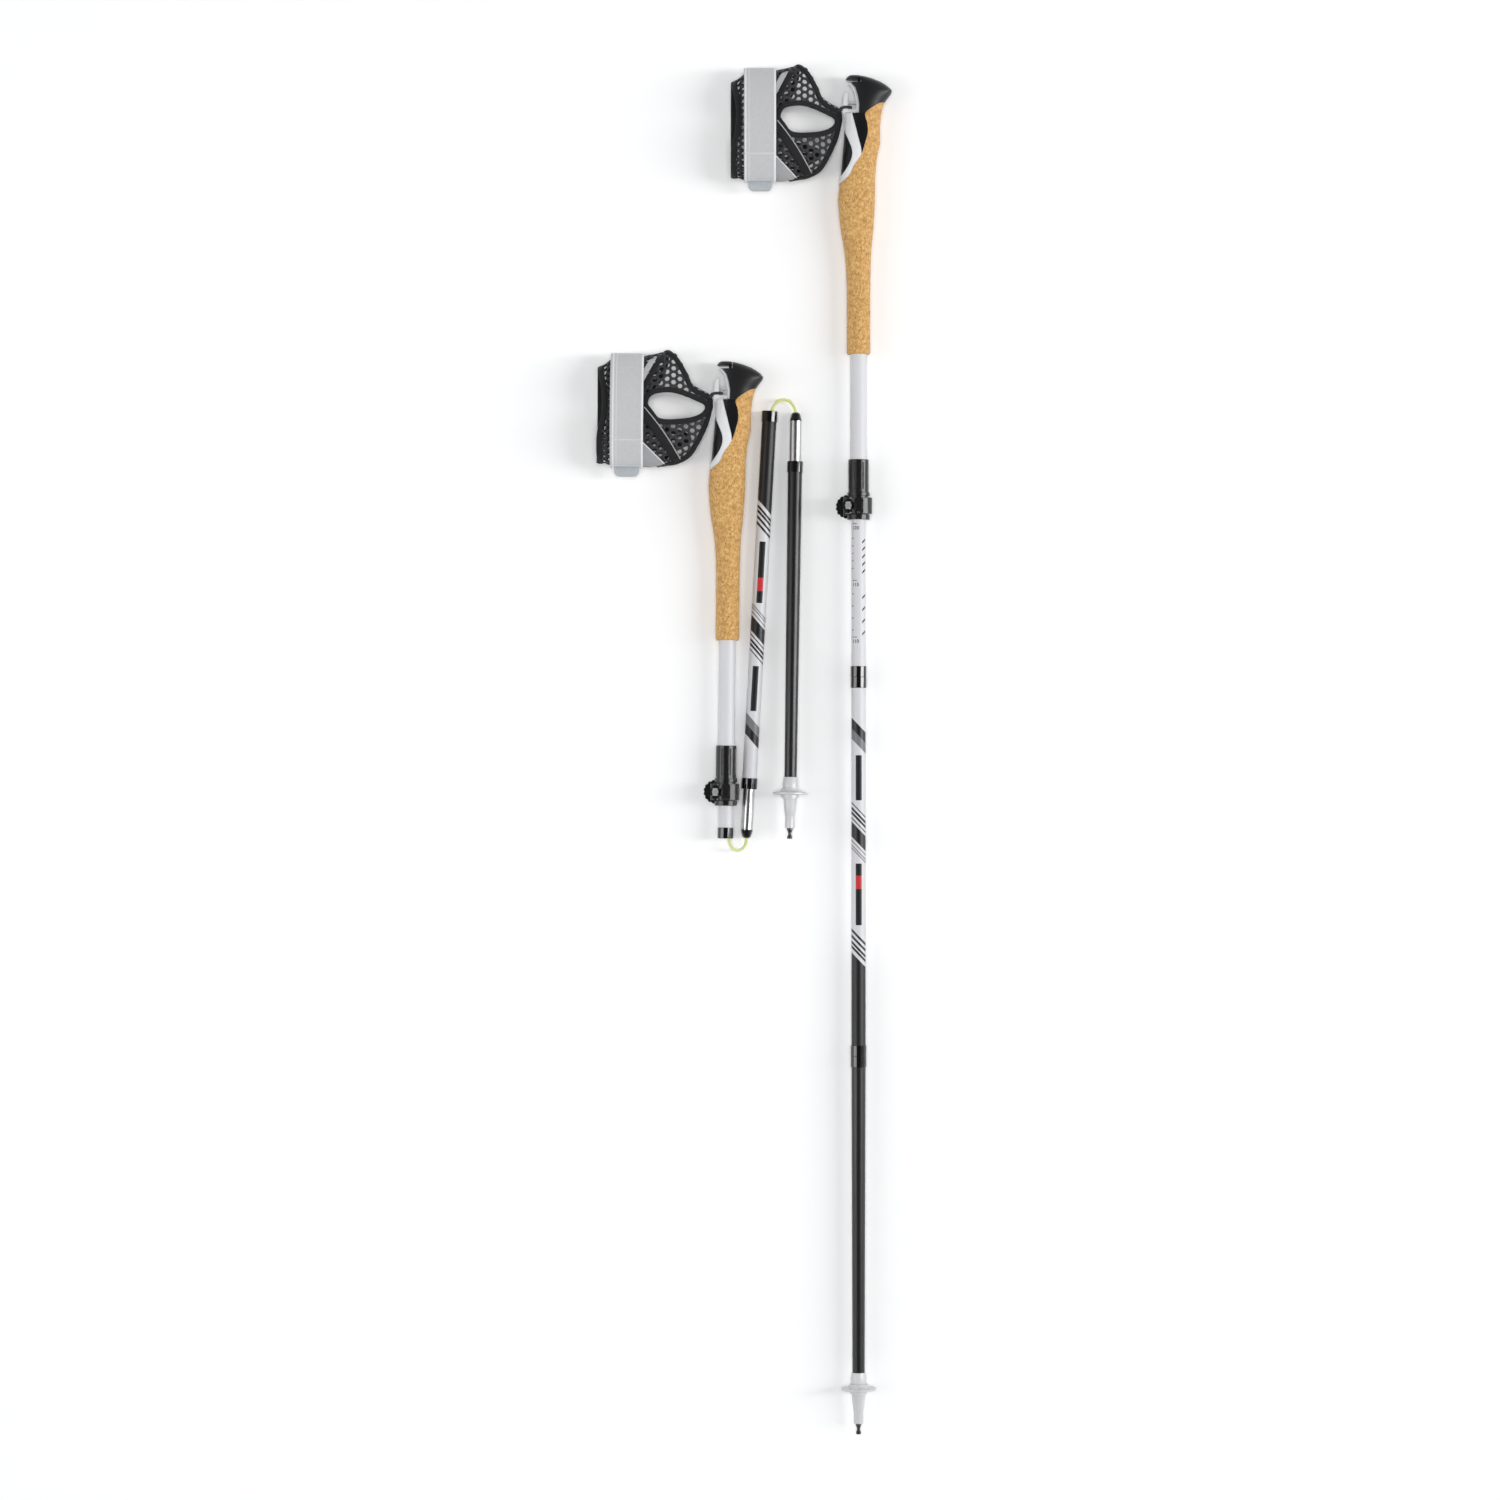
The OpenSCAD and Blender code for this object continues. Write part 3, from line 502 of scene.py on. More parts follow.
def scaled_tube(name, place):
    """Sliding tube: white, with short ticks on one side and slanted marks on the other."""
    s = Surface(name, place)
    x, y, z = s.split(s.here)
    front = s.math("LESS_THAN", y, 0.0)

    def row(height, distance, pitch, count, half):
        """Marks half mm to each side of count centres, pitch apart, from the top one down."""
        foot = s.math("SUBTRACT", height, SCALE_TOP - distance - pitch * (count - 0.5))
        mark = s.between(s.math("MODULO", foot, pitch), pitch / 2 - half, pitch / 2 + half)
        return s.math("MULTIPLY", mark, s.between(foot, 0.0, pitch * count))

    slanted = s.math("SUBTRACT", z, s.math("MULTIPLY", s.math("SUBTRACT", x, SLASH_X), SLASH_SLANT))
    slashes = s.math("ADD", *[row(slanted, *line, 0.95) for line in SLASH_ROWS])
    slashes = s.math("MULTIPLY", slashes, s.between(x, SLASH_X - 1.35, SLASH_X + 1.35))
    ticks = s.math("ADD", *[row(z, *line, 0.45) for line in TICK_ROWS])
    ticks = s.math("MULTIPLY", ticks, s.between(x, -5.9, -4.4))
    lines = s.math("MULTIPLY", row(z, *FIGURE_LINES, 0.4), s.between(x, -5.2, -1.6))
    fine = s.math("MULTIPLY", s.math("MAXIMUM", ticks, lines), 0.7)
    ink = s.math("MULTIPLY", s.math("MAXIMUM", slashes, fine), front)
    return lacquer(s, s.mix(ink, WHITE, INK))


def woven(name, dark, light, pitch_mm, sheen, roughness=0.8, selvedge=None):
    """Cloth woven along its UV, in mm; selvedge is the tape's width, for its pale edge lines."""
    s = Surface(name)
    u, v, _ = s.split(s.uv)
    turn = math.tau / pitch_mm
    warp = s.math("SINE", s.math("MULTIPLY", u, turn))
    weft = s.math("SINE", s.math("MULTIPLY", v, turn))
    weave = s.math("ADD", 0.5, s.math("MULTIPLY", s.math("MULTIPLY", warp, weft), 0.5))
    tone = s.math("ADD", s.math("MULTIPLY", weave, 0.7), s.math("MULTIPLY", s.noise(3, 3), 0.3))
    colour = s.mix(tone, dark, light)
    if selvedge:
        lines = s.math("ADD", s.between(u, 0.6, 2.0), s.between(u, selvedge - 2.0, selvedge - 0.6))
        faint = s.math("MULTIPLY", s.between(u, selvedge - 4.6, selvedge - 4.0), 0.6)
        lines = s.math("ADD", lines, faint)
        colour = s.mix(s.math("MULTIPLY", lines, 0.8), colour, (0.80, 0.80, 0.81))
    s.set(Base_Color=colour, Roughness=roughness, Sheen_Weight=sheen, Sheen_Roughness=0.4)
    return s.bump(weave, 0.12, 0.8).material


def knit(name, dark, light, size_mm):
    """Knitted mesh: fine yarn cells with a dull sheen."""
    s = Surface(name)
    yarn = s.cells(size_mm)
    tone = s.math("MULTIPLY", yarn, s.math("ADD", 0.35, s.noise(6, 3)))
    s.set(Base_Color=s.mix(tone, dark, light), Roughness=0.62,
          Sheen_Weight=0.25, Sheen_Roughness=0.35)
    return s.bump(yarn, 0.25, 0.9).material


def braid(name, colours, pitch_mm):
    """Braided sheath: two sets of strands that cross round the cord. U is 0 to 1 round it."""
    s = Surface(name)
    u, v, _ = s.split(s.uv)
    around, along = s.math("MULTIPLY", u, math.tau * 6), s.math("MULTIPLY", v, math.tau / pitch_mm)
    strands = s.math("MULTIPLY", s.math("SINE", s.math("ADD", around, along)),
                     s.math("SINE", s.math("SUBTRACT", around, along)))
    tone = s.math("ADD", 0.5, s.math("MULTIPLY", strands, 0.5))
    s.set(Base_Color=s.mix(tone, *colours), Roughness=0.6, Sheen_Weight=0.3)
    return s.bump(tone, 0.12, 0.8).material


BLACK = (0.010, 0.010, 0.011)
common = {
    "soft_black": moulded("soft_black", BLACK, 0.42, 0.3, 0.012, edge=1.2),
    "black_plastic": moulded("black_plastic", (0.009, 0.009, 0.010), 0.24, 0.4, 0.010, edge=0.6),
    "gloss_black": moulded("gloss_black", (0.004, 0.004, 0.0045), 0.14, 1.2, 0.004, coat=0.5),
    "white_plastic": moulded("white_plastic", (0.62, 0.62, 0.63), 0.32, 0.6, 0.008,
                             coat=0.2, edge=0.4),
    # The arm's white is lighter than the other white plastic, as painted light: its colour is
    # raised to make up for the shade that falls on the arm
    "white_arm_painted_light": moulded("white_arm_painted_light", (0.84, 0.84, 0.855), 0.26, 0.6, 0.006, coat=0.3, edge=2.4),
    "cord_sheath": braid("cord_sheath", ((0.48, 0.51, 0.12), (0.82, 0.85, 0.34)), 2.2),
    "loop_cord": braid("loop_cord", ((0.008, 0.008, 0.009), (0.03, 0.03, 0.032)), 2.0),
    "mesh": knit("strap_mesh", (0.003, 0.003, 0.004), (0.04, 0.04, 0.048), 0.8),
    "binding": woven("strap_binding", (0.003, 0.003, 0.0035), (0.011, 0.011, 0.012), 0.7, 0.08),
    "lining": woven("strap_lining", (0.24, 0.24, 0.25), (0.42, 0.42, 0.44), 0.9, 0.2),
    "piping": woven("strap_piping", (0.30, 0.30, 0.31), (0.55, 0.55, 0.57), 0.6, 0.2),
    "ribbon": woven("strap_ribbon", (0.38, 0.38, 0.385), (0.64, 0.64, 0.65), 1.1, 0.15, 0.45, 28.3),
    "thread": woven("strap_thread", (0.55, 0.55, 0.56), (0.8, 0.8, 0.8), 0.4, 0.2),
}


def tab_rubber():
    """Slightly clear grey rubber of the band's end."""
    s = Surface("strap_tab")
    s.set(Base_Color=s.mix(s.noise(4, 2), (0.40, 0.44, 0.47), (0.52, 0.56, 0.59)), Roughness=0.38,
          Transmission_Weight=0.25, Subsurface_Weight=0.2)
    return s.bump(s.noise(0.5, 2), 0.02, 0.5).material


common["tab"] = tab_rubber()

PLAIN = {
    "soft_black": ("grip_cap", "release_button"),
    "black_plastic": ("grip_core", "lock_collar", "lock_lever", "lock_wheel"),
    "gloss_black": ("adjust_ferrule", "mid_ferrules", "lower_collar", "mid_nose", "lower_nose"),
    "white_arm_painted_light": ("trigger_frame",),
    "white_plastic": ("trigger_gate", "tip_holder", "basket"),
    "loop_cord": ("strap_loop",),
    "cord_sheath": ("cord",),
}


def finish_node(name, material):
    """Gives a CAD node one material."""
    data = nodes[name].data
    data.materials.clear()
    data.materials.append(material)


for pole in POLES:
    places = PLACES[pole]
    for material, names in PLAIN.items():
        for name in names:
            finish_node(f"{pole}_{name}", common[material])
    finish_node(f"{pole}_grip_cork", cork(f"{pole}_cork", places["grip"]))
    upper = Surface(f"{pole}_upper_paint", places["grip"])
    uneven_white = upper.mix(upper.noise(60, 2), WHITE, tuple(1.04 * c for c in WHITE))
    finish_node(f"{pole}_upper_tube", lacquer(upper, uneven_white))
    finish_node(f"{pole}_adjust_tube", scaled_tube(f"{pole}_scale_paint", places["adjust"]))
    finish_node(f"{pole}_mid_tube", striped_tube(f"{pole}_stripe_paint", places["mid"]))
    tube = moulded(f"{pole}_matte_lacquer", (0.009, 0.009, 0.010), 0.34, 0.9, 0.006, coat=0.1,
                   place=places["lower"])
    finish_node(f"{pole}_lower_tube", tube)
    for section, name in (("mid", "mid_connector"), ("lower", "lower_connector"),
                          ("adjust", "push_button"), ("grip", "gate_spring")):
        steel = brushed(f"{pole}_{section}_steel", (0.66, 0.66, 0.67), 0.3, places[section])
        finish_node(f"{pole}_{name}", steel)
    bolt = brushed(f"{pole}_bolt_steel", (0.86, 0.86, 0.87), 0.5, places["grip"], (1, 1, 1))
    finish_node(f"{pole}_lock_bolt", bolt)
    tip = brushed(f"{pole}_hard_metal", (0.14, 0.14, 0.145), 0.34, places["lower"], (1, 1, 1))
    finish_node(f"{pole}_carbide_tip", tip)

for obj in (foot_cord, head_cord):
    obj.data.materials.append(common["cord_sheath"])

# Flat-sided mouldings get smooth skins and soft edges; turned parts keep their exact normals
SOFTENED = {
    "grip_cork": 0.25, "grip_cap": 0.5, "grip_core": 0.4, "trigger_frame": 0.8,
    "release_button": 0.3, "trigger_gate": 0.25, "lock_collar": 0.35, "lock_lever": 0.6,
    "lock_wheel": 0.3, "tip_holder": 0.3, "basket": 0.3, "adjust_ferrule": 0.25,
    "mid_ferrules": 0.25, "lower_collar": 0.25,
}
WELD_GAP = 0.00002
SHARP_ANGLE = math.radians(38)
for pole in POLES:
    for name, radius in SOFTENED.items():
        obj = nodes[f"{pole}_{name}"]
        mesh = obj.data
        if "custom_normal" in mesh.attributes:
            mesh.attributes.remove(mesh.attributes["custom_normal"])
        mesh.polygons.foreach_set("use_smooth", [True] * len(mesh.polygons))
        weld = obj.modifiers.new("weld", "WELD")
        weld.merge_threshold = WELD_GAP
        bevel = obj.modifiers.new("soft_edges", "BEVEL")
        bevel.width = radius * MM
        bevel.segments = 4
        bevel.limit_method = "ANGLE"
        bevel.angle_limit = SHARP_ANGLE
        level = obj.modifiers.new("even_faces", "WEIGHTED_NORMAL")
        level.keep_sharp = False

# ---- Hand strap ----

STRAP_LEFT = -108
HOOK_X = -6.7
# The sleeve's half height, middle, depth and lift, each as (x, value)
SLEEVE_HALF = [(-108, 43.5), (-98, 48.4), (-73, 48.9), (-51, 51.8), (-13, 51.8)]
SLEEVE_MID = [(-108, -48), (-98, -45), (-73, -44.6), (-51, -42.2), (-13, -42.2)]
DEPTHS = [(-108, 17.5), (-100, 19.1), (-66, 19.1), (-40, 12), (-25, 6.5), (-13, 2.3)]
LIFT = -5.8
LIFTS = [(-108, LIFT), (-66, LIFT), (-40, -3), (-25, -0.5), (-13, 1)]
# Outlines on the near side, as (x, z)
FRONT_EDGE = [
    (-50.8, 9.7), (-43.7, 2.7), (-36.7, -9.7), (-31.4, -21.2), (-23.4, -26.5), (-16, -30),
    (-14.4, -37), (-15, -43.3), (-18.6, -57.4), (-26, -74.2), (-33.1, -85.7), (-43.7, -91.9),
    (-54.8, -93.7),
]
THUMB_HOLE = [
    (-69.4, -38.9), (-65.8, -31.4), (-54.8, -28.3), (-43.7, -29.2), (-29, -34.5), (-21, -38.9),
    (-22.8, -45.1), (-32.3, -50.4), (-49, -53), (-59.6, -52.1), (-65, -46),
]
# Front edge on the far side, and back edge on the near side, as (z, x)
FAR_EDGE = [
    (-93.7, -58), (-82, -48), (-72, -33), (-63, -37), (-57, -58), (-54, -71), (-28, -71),
    (-24, -66), (-16, -58), (-6, -53.5), (2, -52), (9.7, -53),
]
BACK_EDGE = [
    (-100, -103.5), (-94.5, -105), (-87.4, -107.6), (-65.3, -107.4), (-54.7, -104.6),
    (-38.8, -103.2), (-21, -104.6), (-7.9, -107.2), (0, -106.5), (6, -104),
]
# The mesh lies this far inside the sleeve's outer surface
MESH_IN = 1.0
MESH_T = 1.3
MESH_RIGHT = -12
ARC_STEPS = 720
HOLE_PITCH = 6.3
HOLE_R = 1.95
BIND_HALF = 2.5
BAND_X = (-101.2, -72.9)
BAND_HALF, BAND_CENTRE, BAND_DEPTH, BAND_T = 50.7, -44.4, 20.8, 1.4
TAB_X = (-97.6, -76.4)
STITCH_PITCH, STITCH_LENGTH, STITCH_R = 2.6, 1.7, 0.2
PATCH_ROWS, PATCH_T = 8, 0.5
LINE_STEPS = 14


class Sleeve:
    """The strap's sleeve as a surface: an angle round it (0 faces the viewer) and an X."""

    def __init__(self, stretch):
        self.stretch = stretch
        self.front = smooth(FRONT_EDGE, 6)
        self.by_level = [(z, x) for x, z in self.front]
        self.far = smooth(FAR_EDGE, 5)
        self.rear = smooth(BACK_EDGE, 5)
        self.hole = smooth(THUMB_HOLE, 5, closed=True)

    def point(self, angle, x, out=0.0):
        """A point of the surface, moved out mm outwards."""
        depth = max(lookup(x, DEPTHS) + out, 0.3)
        return Vector((
            HOOK_X + (x - HOOK_X) * self.stretch,
            lookup(x, LIFTS) - depth * math.cos(angle),
            lookup(x, SLEEVE_MID) + (lookup(x, SLEEVE_HALF) + out) * math.sin(angle),
        ))

    def normal(self, angle, x):
        depth, half = max(lookup(x, DEPTHS), 0.3), lookup(x, SLEEVE_HALF)
        across = Vector((0, -math.cos(angle) * half, math.sin(angle) * depth)).normalized()
        slope = Vector(self.point(angle, x + 0.5)) - Vector(self.point(angle, x - 0.5))
        slope.normalize()
        return (across - across.dot(slope) * slope).normalized()

    def angle_at(self, x, z):
        """Angle on the side that faces the viewer."""
        return math.asin(min(max((z - lookup(x, SLEEVE_MID)) / lookup(x, SLEEVE_HALF), -1), 1))

    def near(self, x, z, out=0.0):
        return self.point(self.angle_at(x, z), x, out)

    def edge(self, angle):
        """X of the sleeve's front edge: shaped on the near side, plain on the far one."""
        level = lookup(-60, SLEEVE_MID) + lookup(-60, SLEEVE_HALF) * math.sin(angle)
        return self.between(angle, lookup(level, self.by_level), lookup(level, self.far))

    def back(self, angle):
        """X of the back edge, waved on the near side."""
        level = lookup(-104, SLEEVE_MID) + lookup(-104, SLEEVE_HALF) * math.sin(angle)
        return self.between(angle, lookup(level, self.rear), STRAP_LEFT)

    @staticmethod
    def between(angle, near, far):
        """Blends from the near side's value to the far side's."""
        share = min(max((0.1 - math.cos(angle)) / 0.2, 0), 1)
        return near + (far - near) * share * share * (3 - 2 * share)


def inside(x, z, outline):
    """Whether a point lies in a closed outline."""
    hit = False
    for (x0, z0), (x1, z1) in zip(outline, outline[1:] + outline[:1]):
        if (z0 > z) != (z1 > z) and x < x0 + (z - z0) * (x1 - x0) / (z1 - z0):
            hit = not hit
    return hit


def nearest(x, z, outline):
    """The outline's point that lies nearest."""
    best, found = 1e9, (x, z)
    for (x0, z0), (x1, z1) in zip(outline, outline[1:] + outline[:1]):
        dx, dz = x1 - x0, z1 - z0
        t = min(max(((x - x0) * dx + (z - z0) * dz) / max(dx * dx + dz * dz, 1e-9), 0), 1)
        p = (x0 + t * dx, z0 + t * dz)
        d = math.hypot(x - p[0], z - p[1])
        if d < best:
            best, found = d, p
    return found


def arc_table():
    """Rows of (distance, angle) round the sleeve, at x = -73."""
    half, depth, run, table = 48.9, 19.1, 0.0, [(0.0, 0.0)]
    for i in range(1, ARC_STEPS + 1):
        a = math.tau * (i - 0.5) / ARC_STEPS
        run += math.hypot(depth * math.sin(a), half * math.cos(a)) * math.tau / ARC_STEPS
        table.append((run, math.tau * i / ARC_STEPS))
    return table


def perforated(name, sleeve, place):
    """The mesh: a lattice of six-sided cells with a round hole in each, cut at the seams."""
    table = arc_table()
    total = table[-1][0]
    around = round(total / HOLE_PITCH)
    pitch = total / around
    corner = pitch / math.sqrt(3)
    row_step = 1.5 * corner
    rows = int((MESH_RIGHT - STRAP_LEFT) / row_step) + 2
    keys, points, faces = {}, [], []

    def vertex(s, x, a_hole):
        angle = table_angle(s % total)
        x = min(max(x, sleeve.back(angle) + 0.6), sleeve.edge(angle) - 0.6)
        if math.cos(angle) > 0:
            z = sleeve.point(angle, x)[2]
            if inside(x, z, sleeve.hole):
                x, z = nearest(x, z, sleeve.hole)
                angle = sleeve.angle_at(x, z)
        key = (round(angle * 400), round(x * 20), a_hole)
        if key not in keys:
            keys[key] = len(points)
            points.append(sleeve.point(angle, x, -MESH_IN))
        return keys[key]

    def table_angle(s):
        i = min(int(s / total * ARC_STEPS), ARC_STEPS - 1)
        while table[i][0] > s and i:
            i -= 1
        while table[i + 1][0] < s and i < ARC_STEPS - 1:
            i += 1
        (s0, a0), (s1, a1) = table[i], table[i + 1]
        return a0 + (a1 - a0) * (s - s0) / (s1 - s0)

    for j in range(rows):
        x = STRAP_LEFT + 1 + j * row_step
        for i in range(around):
            s = (i + 0.5 * (j % 2)) * pitch
            angle = table_angle(s % total)
            if x > sleeve.edge(angle) - 0.4 or x < sleeve.back(angle) + 0.4:
                continue
            if math.cos(angle) > 0 and inside(x, sleeve.point(angle, x)[2], sleeve.hole):
                continue
            outer, inner = [], []
            for k in range(12):
                turn = math.tau * k / 12
                reach = corner if k % 2 == 0 else pitch / 2
                ds, dx = math.sin(turn), math.cos(turn)
                outer.append(vertex(s + reach * ds, x + reach * dx, 0))
                inner.append(vertex(s + HOLE_R * ds, x + HOLE_R * dx, (i, j)))
            for k in range(12):
                n = (k + 1) % 12
                face = []
                for v in (outer[k], outer[n], inner[n], inner[k]):
                    if v not in face:
                        face.append(v)
                if len(face) > 2:
                    faces.append(face)
    obj = mesh_object(name, points, faces, place)
    face_out(obj.data)
    thick = obj.modifiers.new("thickness", "SOLIDIFY")
    thick.thickness = MESH_T * MM
    thick.offset = 0
    round_off = obj.modifiers.new("soft_yarn", "SUBSURF")
    round_off.levels = round_off.render_levels = 1
    return obj


def dressed(obj, material, body, replaced=()):
    """Gives a piece its material, its body and the nodes it stands for."""
    obj.data.materials.append(common[material])
    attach(obj, body)
    if replaced:
        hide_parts(*replaced)
    return obj


def on_sleeve(sleeve, line, out):
    """Points and normals for a line of (x, z) on the near side."""
    points = [sleeve.near(x, z, out) for x, z in line]
    return points, [sleeve.normal(sleeve.angle_at(x, z), x) for x, z in line]


def stitches(name, path, normals, place):
    """A row of thread stitches along an open path."""
    points, faces, run, next_at = [], [], 0.0, 0.0
    for a, b, up in zip(path, path[1:], normals):
        a, b = Vector(a), Vector(b)
        span = (b - a).length
        if span < 1e-6:
            continue
        along = (b - a) / span
        side = along.cross(Vector(up)).normalized()
        up = side.cross(along)
        while next_at < run + span:
            middle = a + along * (next_at - run)
            base = len(points)
            for t, r in ((-0.5, 0.15), (-0.3, 1), (0.3, 1), (0.5, 0.15)):
                for k in range(6):
                    c, s = math.cos(math.tau * k / 6), math.sin(math.tau * k / 6)
                    out = STITCH_R * r * (c * side + s * up)
                    points.append(middle + along * (t * STITCH_LENGTH) + out)
            for low in (base, base + 6, base + 12):
                for k in range(6):
                    n = (k + 1) % 6
                    faces.append((low + k, low + n, low + 6 + n, low + 6 + k))
            next_at += STITCH_PITCH
        run += span
    return mesh_object(name, points, faces, place, [(0.2, 0.2)] * len(points))


def patch(name, first, second, sleeve, place, out):
    """A strip of cloth between two lines of (x, z) on the near side."""
    points, uvs = [], []
    columns = len(first)
    for r in range(PATCH_ROWS + 1):
        for (x0, z0), (x1, z1) in zip(first, second):
            x, z = x0 + (x1 - x0) * r / PATCH_ROWS, z0 + (z1 - z0) * r / PATCH_ROWS
            points.append(sleeve.near(x, z, out))
            uvs.append((x, z))
    faces = [(low + c, low + c + 1, low + columns + c + 1, low + columns + c)
             for low in range(0, PATCH_ROWS * columns, columns) for c in range(columns - 1)]
    obj = mesh_object(name, points, faces, place, uvs)
    thick = obj.modifiers.new("thickness", "SOLIDIFY")
    thick.thickness = PATCH_T * MM
    thick.offset = 0
    return obj


def straight(a, b, bow=0.0):
    """Points from a to b, bowed sideways by bow mm at the middle."""
    dx, dz = b[0] - a[0], b[1] - a[1]
    length = math.hypot(dx, dz)
    return [(a[0] + dx * i / LINE_STEPS - dz / length * bow * math.sin(math.pi * i / LINE_STEPS),
             a[1] + dz * i / LINE_STEPS + dx / length * bow * math.sin(math.pi * i / LINE_STEPS))
            for i in range(LINE_STEPS + 1)]


def band_ring(stretch):
    """Rings of the woven wrist band, with its end lapped over the near side."""
    rings, steps = [], 120
    for i in range(steps):
        a = math.tau * i / steps
        z = BAND_CENTRE + BAND_HALF * math.sin(a)
        lap = 0.35 * min(max((-70.5 - z) / 1.5, 0), 1) if math.cos(a) > 0 else 0
        ring = []
        for across, up in oval(0.5, 0.5, 20, 5):
            x = (BAND_X[0] + BAND_X[1]) / 2 + across * (BAND_X[1] - BAND_X[0])
            out = -BAND_T / 2 + up * (BAND_T + lap) + lap / 2
            ring.append((HOOK_X + (x - HOOK_X) * stretch, LIFT - (BAND_DEPTH + out) * math.cos(a),
                         BAND_CENTRE + (BAND_HALF + out) * math.sin(a)))
        rings.append(ring)
    return rings


def band_point(x, z, out, stretch):
    """A point on the near side of the wrist band, out mm above its inner face."""
    a = math.asin(min(max((z - BAND_CENTRE) / BAND_HALF, -1), 1))
    return Vector((HOOK_X + (x - HOOK_X) * stretch, LIFT - (BAND_DEPTH + out) * math.cos(a),
                   BAND_CENTRE + (BAND_HALF + out) * math.sin(a)))


def tab_rings(stretch):
    """The band's rubber end: a flat tongue that leaves the band and narrows to a round tip."""
    line = smooth([(-13.5, -87.5), (-11.8, -91), (-9.9, -94.5), (-8.6, -98.5), (-7.9, -102.4)], 5)
    rings = []
    for i, (y, z) in enumerate(line):
        share = i / (len(line) - 1)
        # The last 28 % narrows; 0.0784 is 0.28 squared
        width = (TAB_X[1] - TAB_X[0]) / 2 * (1 - 0.5 * max(share - 0.72, 0) ** 2 / 0.0784 * 0.55)
        ring = []
        for across, up in oval(1, 0.85, 20, 4):
            x = (TAB_X[0] + TAB_X[1]) / 2 + across * width
            ridge = 0.12 * math.sin(share * 40) if up > 0 else 0
            ring.append((HOOK_X + (x - HOOK_X) * stretch, y - (up + ridge) * 0.9, z + up * 0.42))
        rings.append(ring)
    return rings


for pole in POLES:
    sleeve, place, body = Sleeve(STRETCH[pole]), PLACES[pole]["grip"], f"{pole}_strap"

    def sew(name, line, section, material="binding", closed=False, shift=0.0):
        """A strip along a line of points and normals."""
        strip = tape(f"{pole}_{name}", *line, section, place, closed, shift)
        dressed(strip, material, body)

    def round_sleeve(edge):
        """Points and normals for a line of (angle, x) round the sleeve."""
        points = [sleeve.point(a, x, -MESH_IN) for a, x in edge]
        return points, [sleeve.normal(a, x) for a, x in edge]

    dressed(perforated(f"{pole}_mesh", sleeve, place), "mesh", body,
            [f"{pole}_strap_mesh"])

    # Bindings over the raw edges
    section = oval(BIND_HALF, 1.15)
    front = [(sleeve.angle_at(x, z), x) for x, z in sleeve.front]
    far = [(a, sleeve.edge(a)) for a in (-math.pi / 2 - math.pi * i / 64 for i in range(3, 62))]
    sew("front_binding", round_sleeve(front + far), section, closed=True, shift=BIND_HALF)
    thumb = on_sleeve(sleeve, sleeve.hole, -MESH_IN)
    sew("thumb_binding", thumb, section, closed=True, shift=-BIND_HALF * 0.8)
    back = [(a, sleeve.back(a)) for a in (math.tau * i / 96 for i in range(96))]
    sew("back_binding", round_sleeve(back), section, closed=True, shift=-BIND_HALF)

    # The slanted seam with its piping, the lined corner and the light strip
    seam = straight((-75, -45), (-44.5, -88.5), bow=1.5)
    sew("seam_binding", on_sleeve(sleeve, seam, 0.1), oval(4.2, 0.9))
    piped = [(x + 3.0, z + 2.3) for x, z in seam]
    sew("seam_piping", on_sleeve(sleeve, piped, 1.0), oval(0.45, 0.4, 8, 2), "piping")
    corner = straight((-76, -70.5), (-54.5, -91.2))
    low_edge = [(x, max(-93.6, z - 24 * (1 - i / LINE_STEPS) - 0.6))
                for i, (x, z) in enumerate(corner)]
    dressed(patch(f"{pole}_corner_lining", corner, low_edge, sleeve, place, 0.2), "lining", body)
    sew("corner_piping", on_sleeve(sleeve, corner, 0.6), oval(0.6, 0.45, 8, 2), "thread")
    strip_low, strip_high = straight((-76, -26), (-62, 2)), straight((-76, -14), (-68, 0))
    dressed(patch(f"{pole}_light_strip", strip_low, strip_high, sleeve, place, 0.2), "piping", body)
    strip_edge = [(x + 2.4, z - 1.4) for x, z in straight((-76.5, -27), (-61, 4))]
    sew("strip_binding", on_sleeve(sleeve, strip_edge, 0.0), oval(2.2, 0.9))

    # Wrist band with its lap seam and rubber end
    stretch = STRETCH[pole]
    band = loft(f"{pole}_wrist_band", band_ring(stretch), place, closed=True)
    dressed(band, "ribbon", body, [f"{pole}_strap_band"])
    tab = loft(f"{pole}_band_tab", tab_rings(stretch), place)
    dressed(tab, "tab", body)
    for z, name in ((-71.2, "lap"), (-93, "end")):
        line = [band_point(BAND_X[0] + 1 + i, z, 0.55, stretch) for i in range(27)]
        ups = [(line[0] - band_point(BAND_X[0] + 1, z, -1, stretch)).normalized()] * len(line)
        strip = tape(f"{pole}_band_{name}_seam", line, ups, oval(0.7, 0.35, 8, 2), place)
        dressed(strip, "thread", body)
    for x, name in ((BAND_X[0] + 2.2, "left"), (BAND_X[1] - 2.2, "right")):
        line = [band_point(x, BAND_CENTRE - 48 + 2 * i, 0.12, stretch) for i in range(49)]
        ups = [Vector((0, -1, 0))] * len(line)
        thread = stitches(f"{pole}_band_{name}_stitches", line, ups, place)
        dressed(thread, "thread", body)

# ---- Figures of the length scale, bent round the sliding tube ----

FIGURE_MM = 4.3
TUBE_R = 6.3
# A figure stands on its foot and sits this far left of the tube's middle line
FIGURE_FOOT = SCALE_TOP - 1.5
FIGURE_LEFT = 3.0
FIGURE_OUT = 0.03
FIGURES = (("110", FIGURE_FOOT - 100), ("115", FIGURE_FOOT - 50), ("120", FIGURE_FOOT))


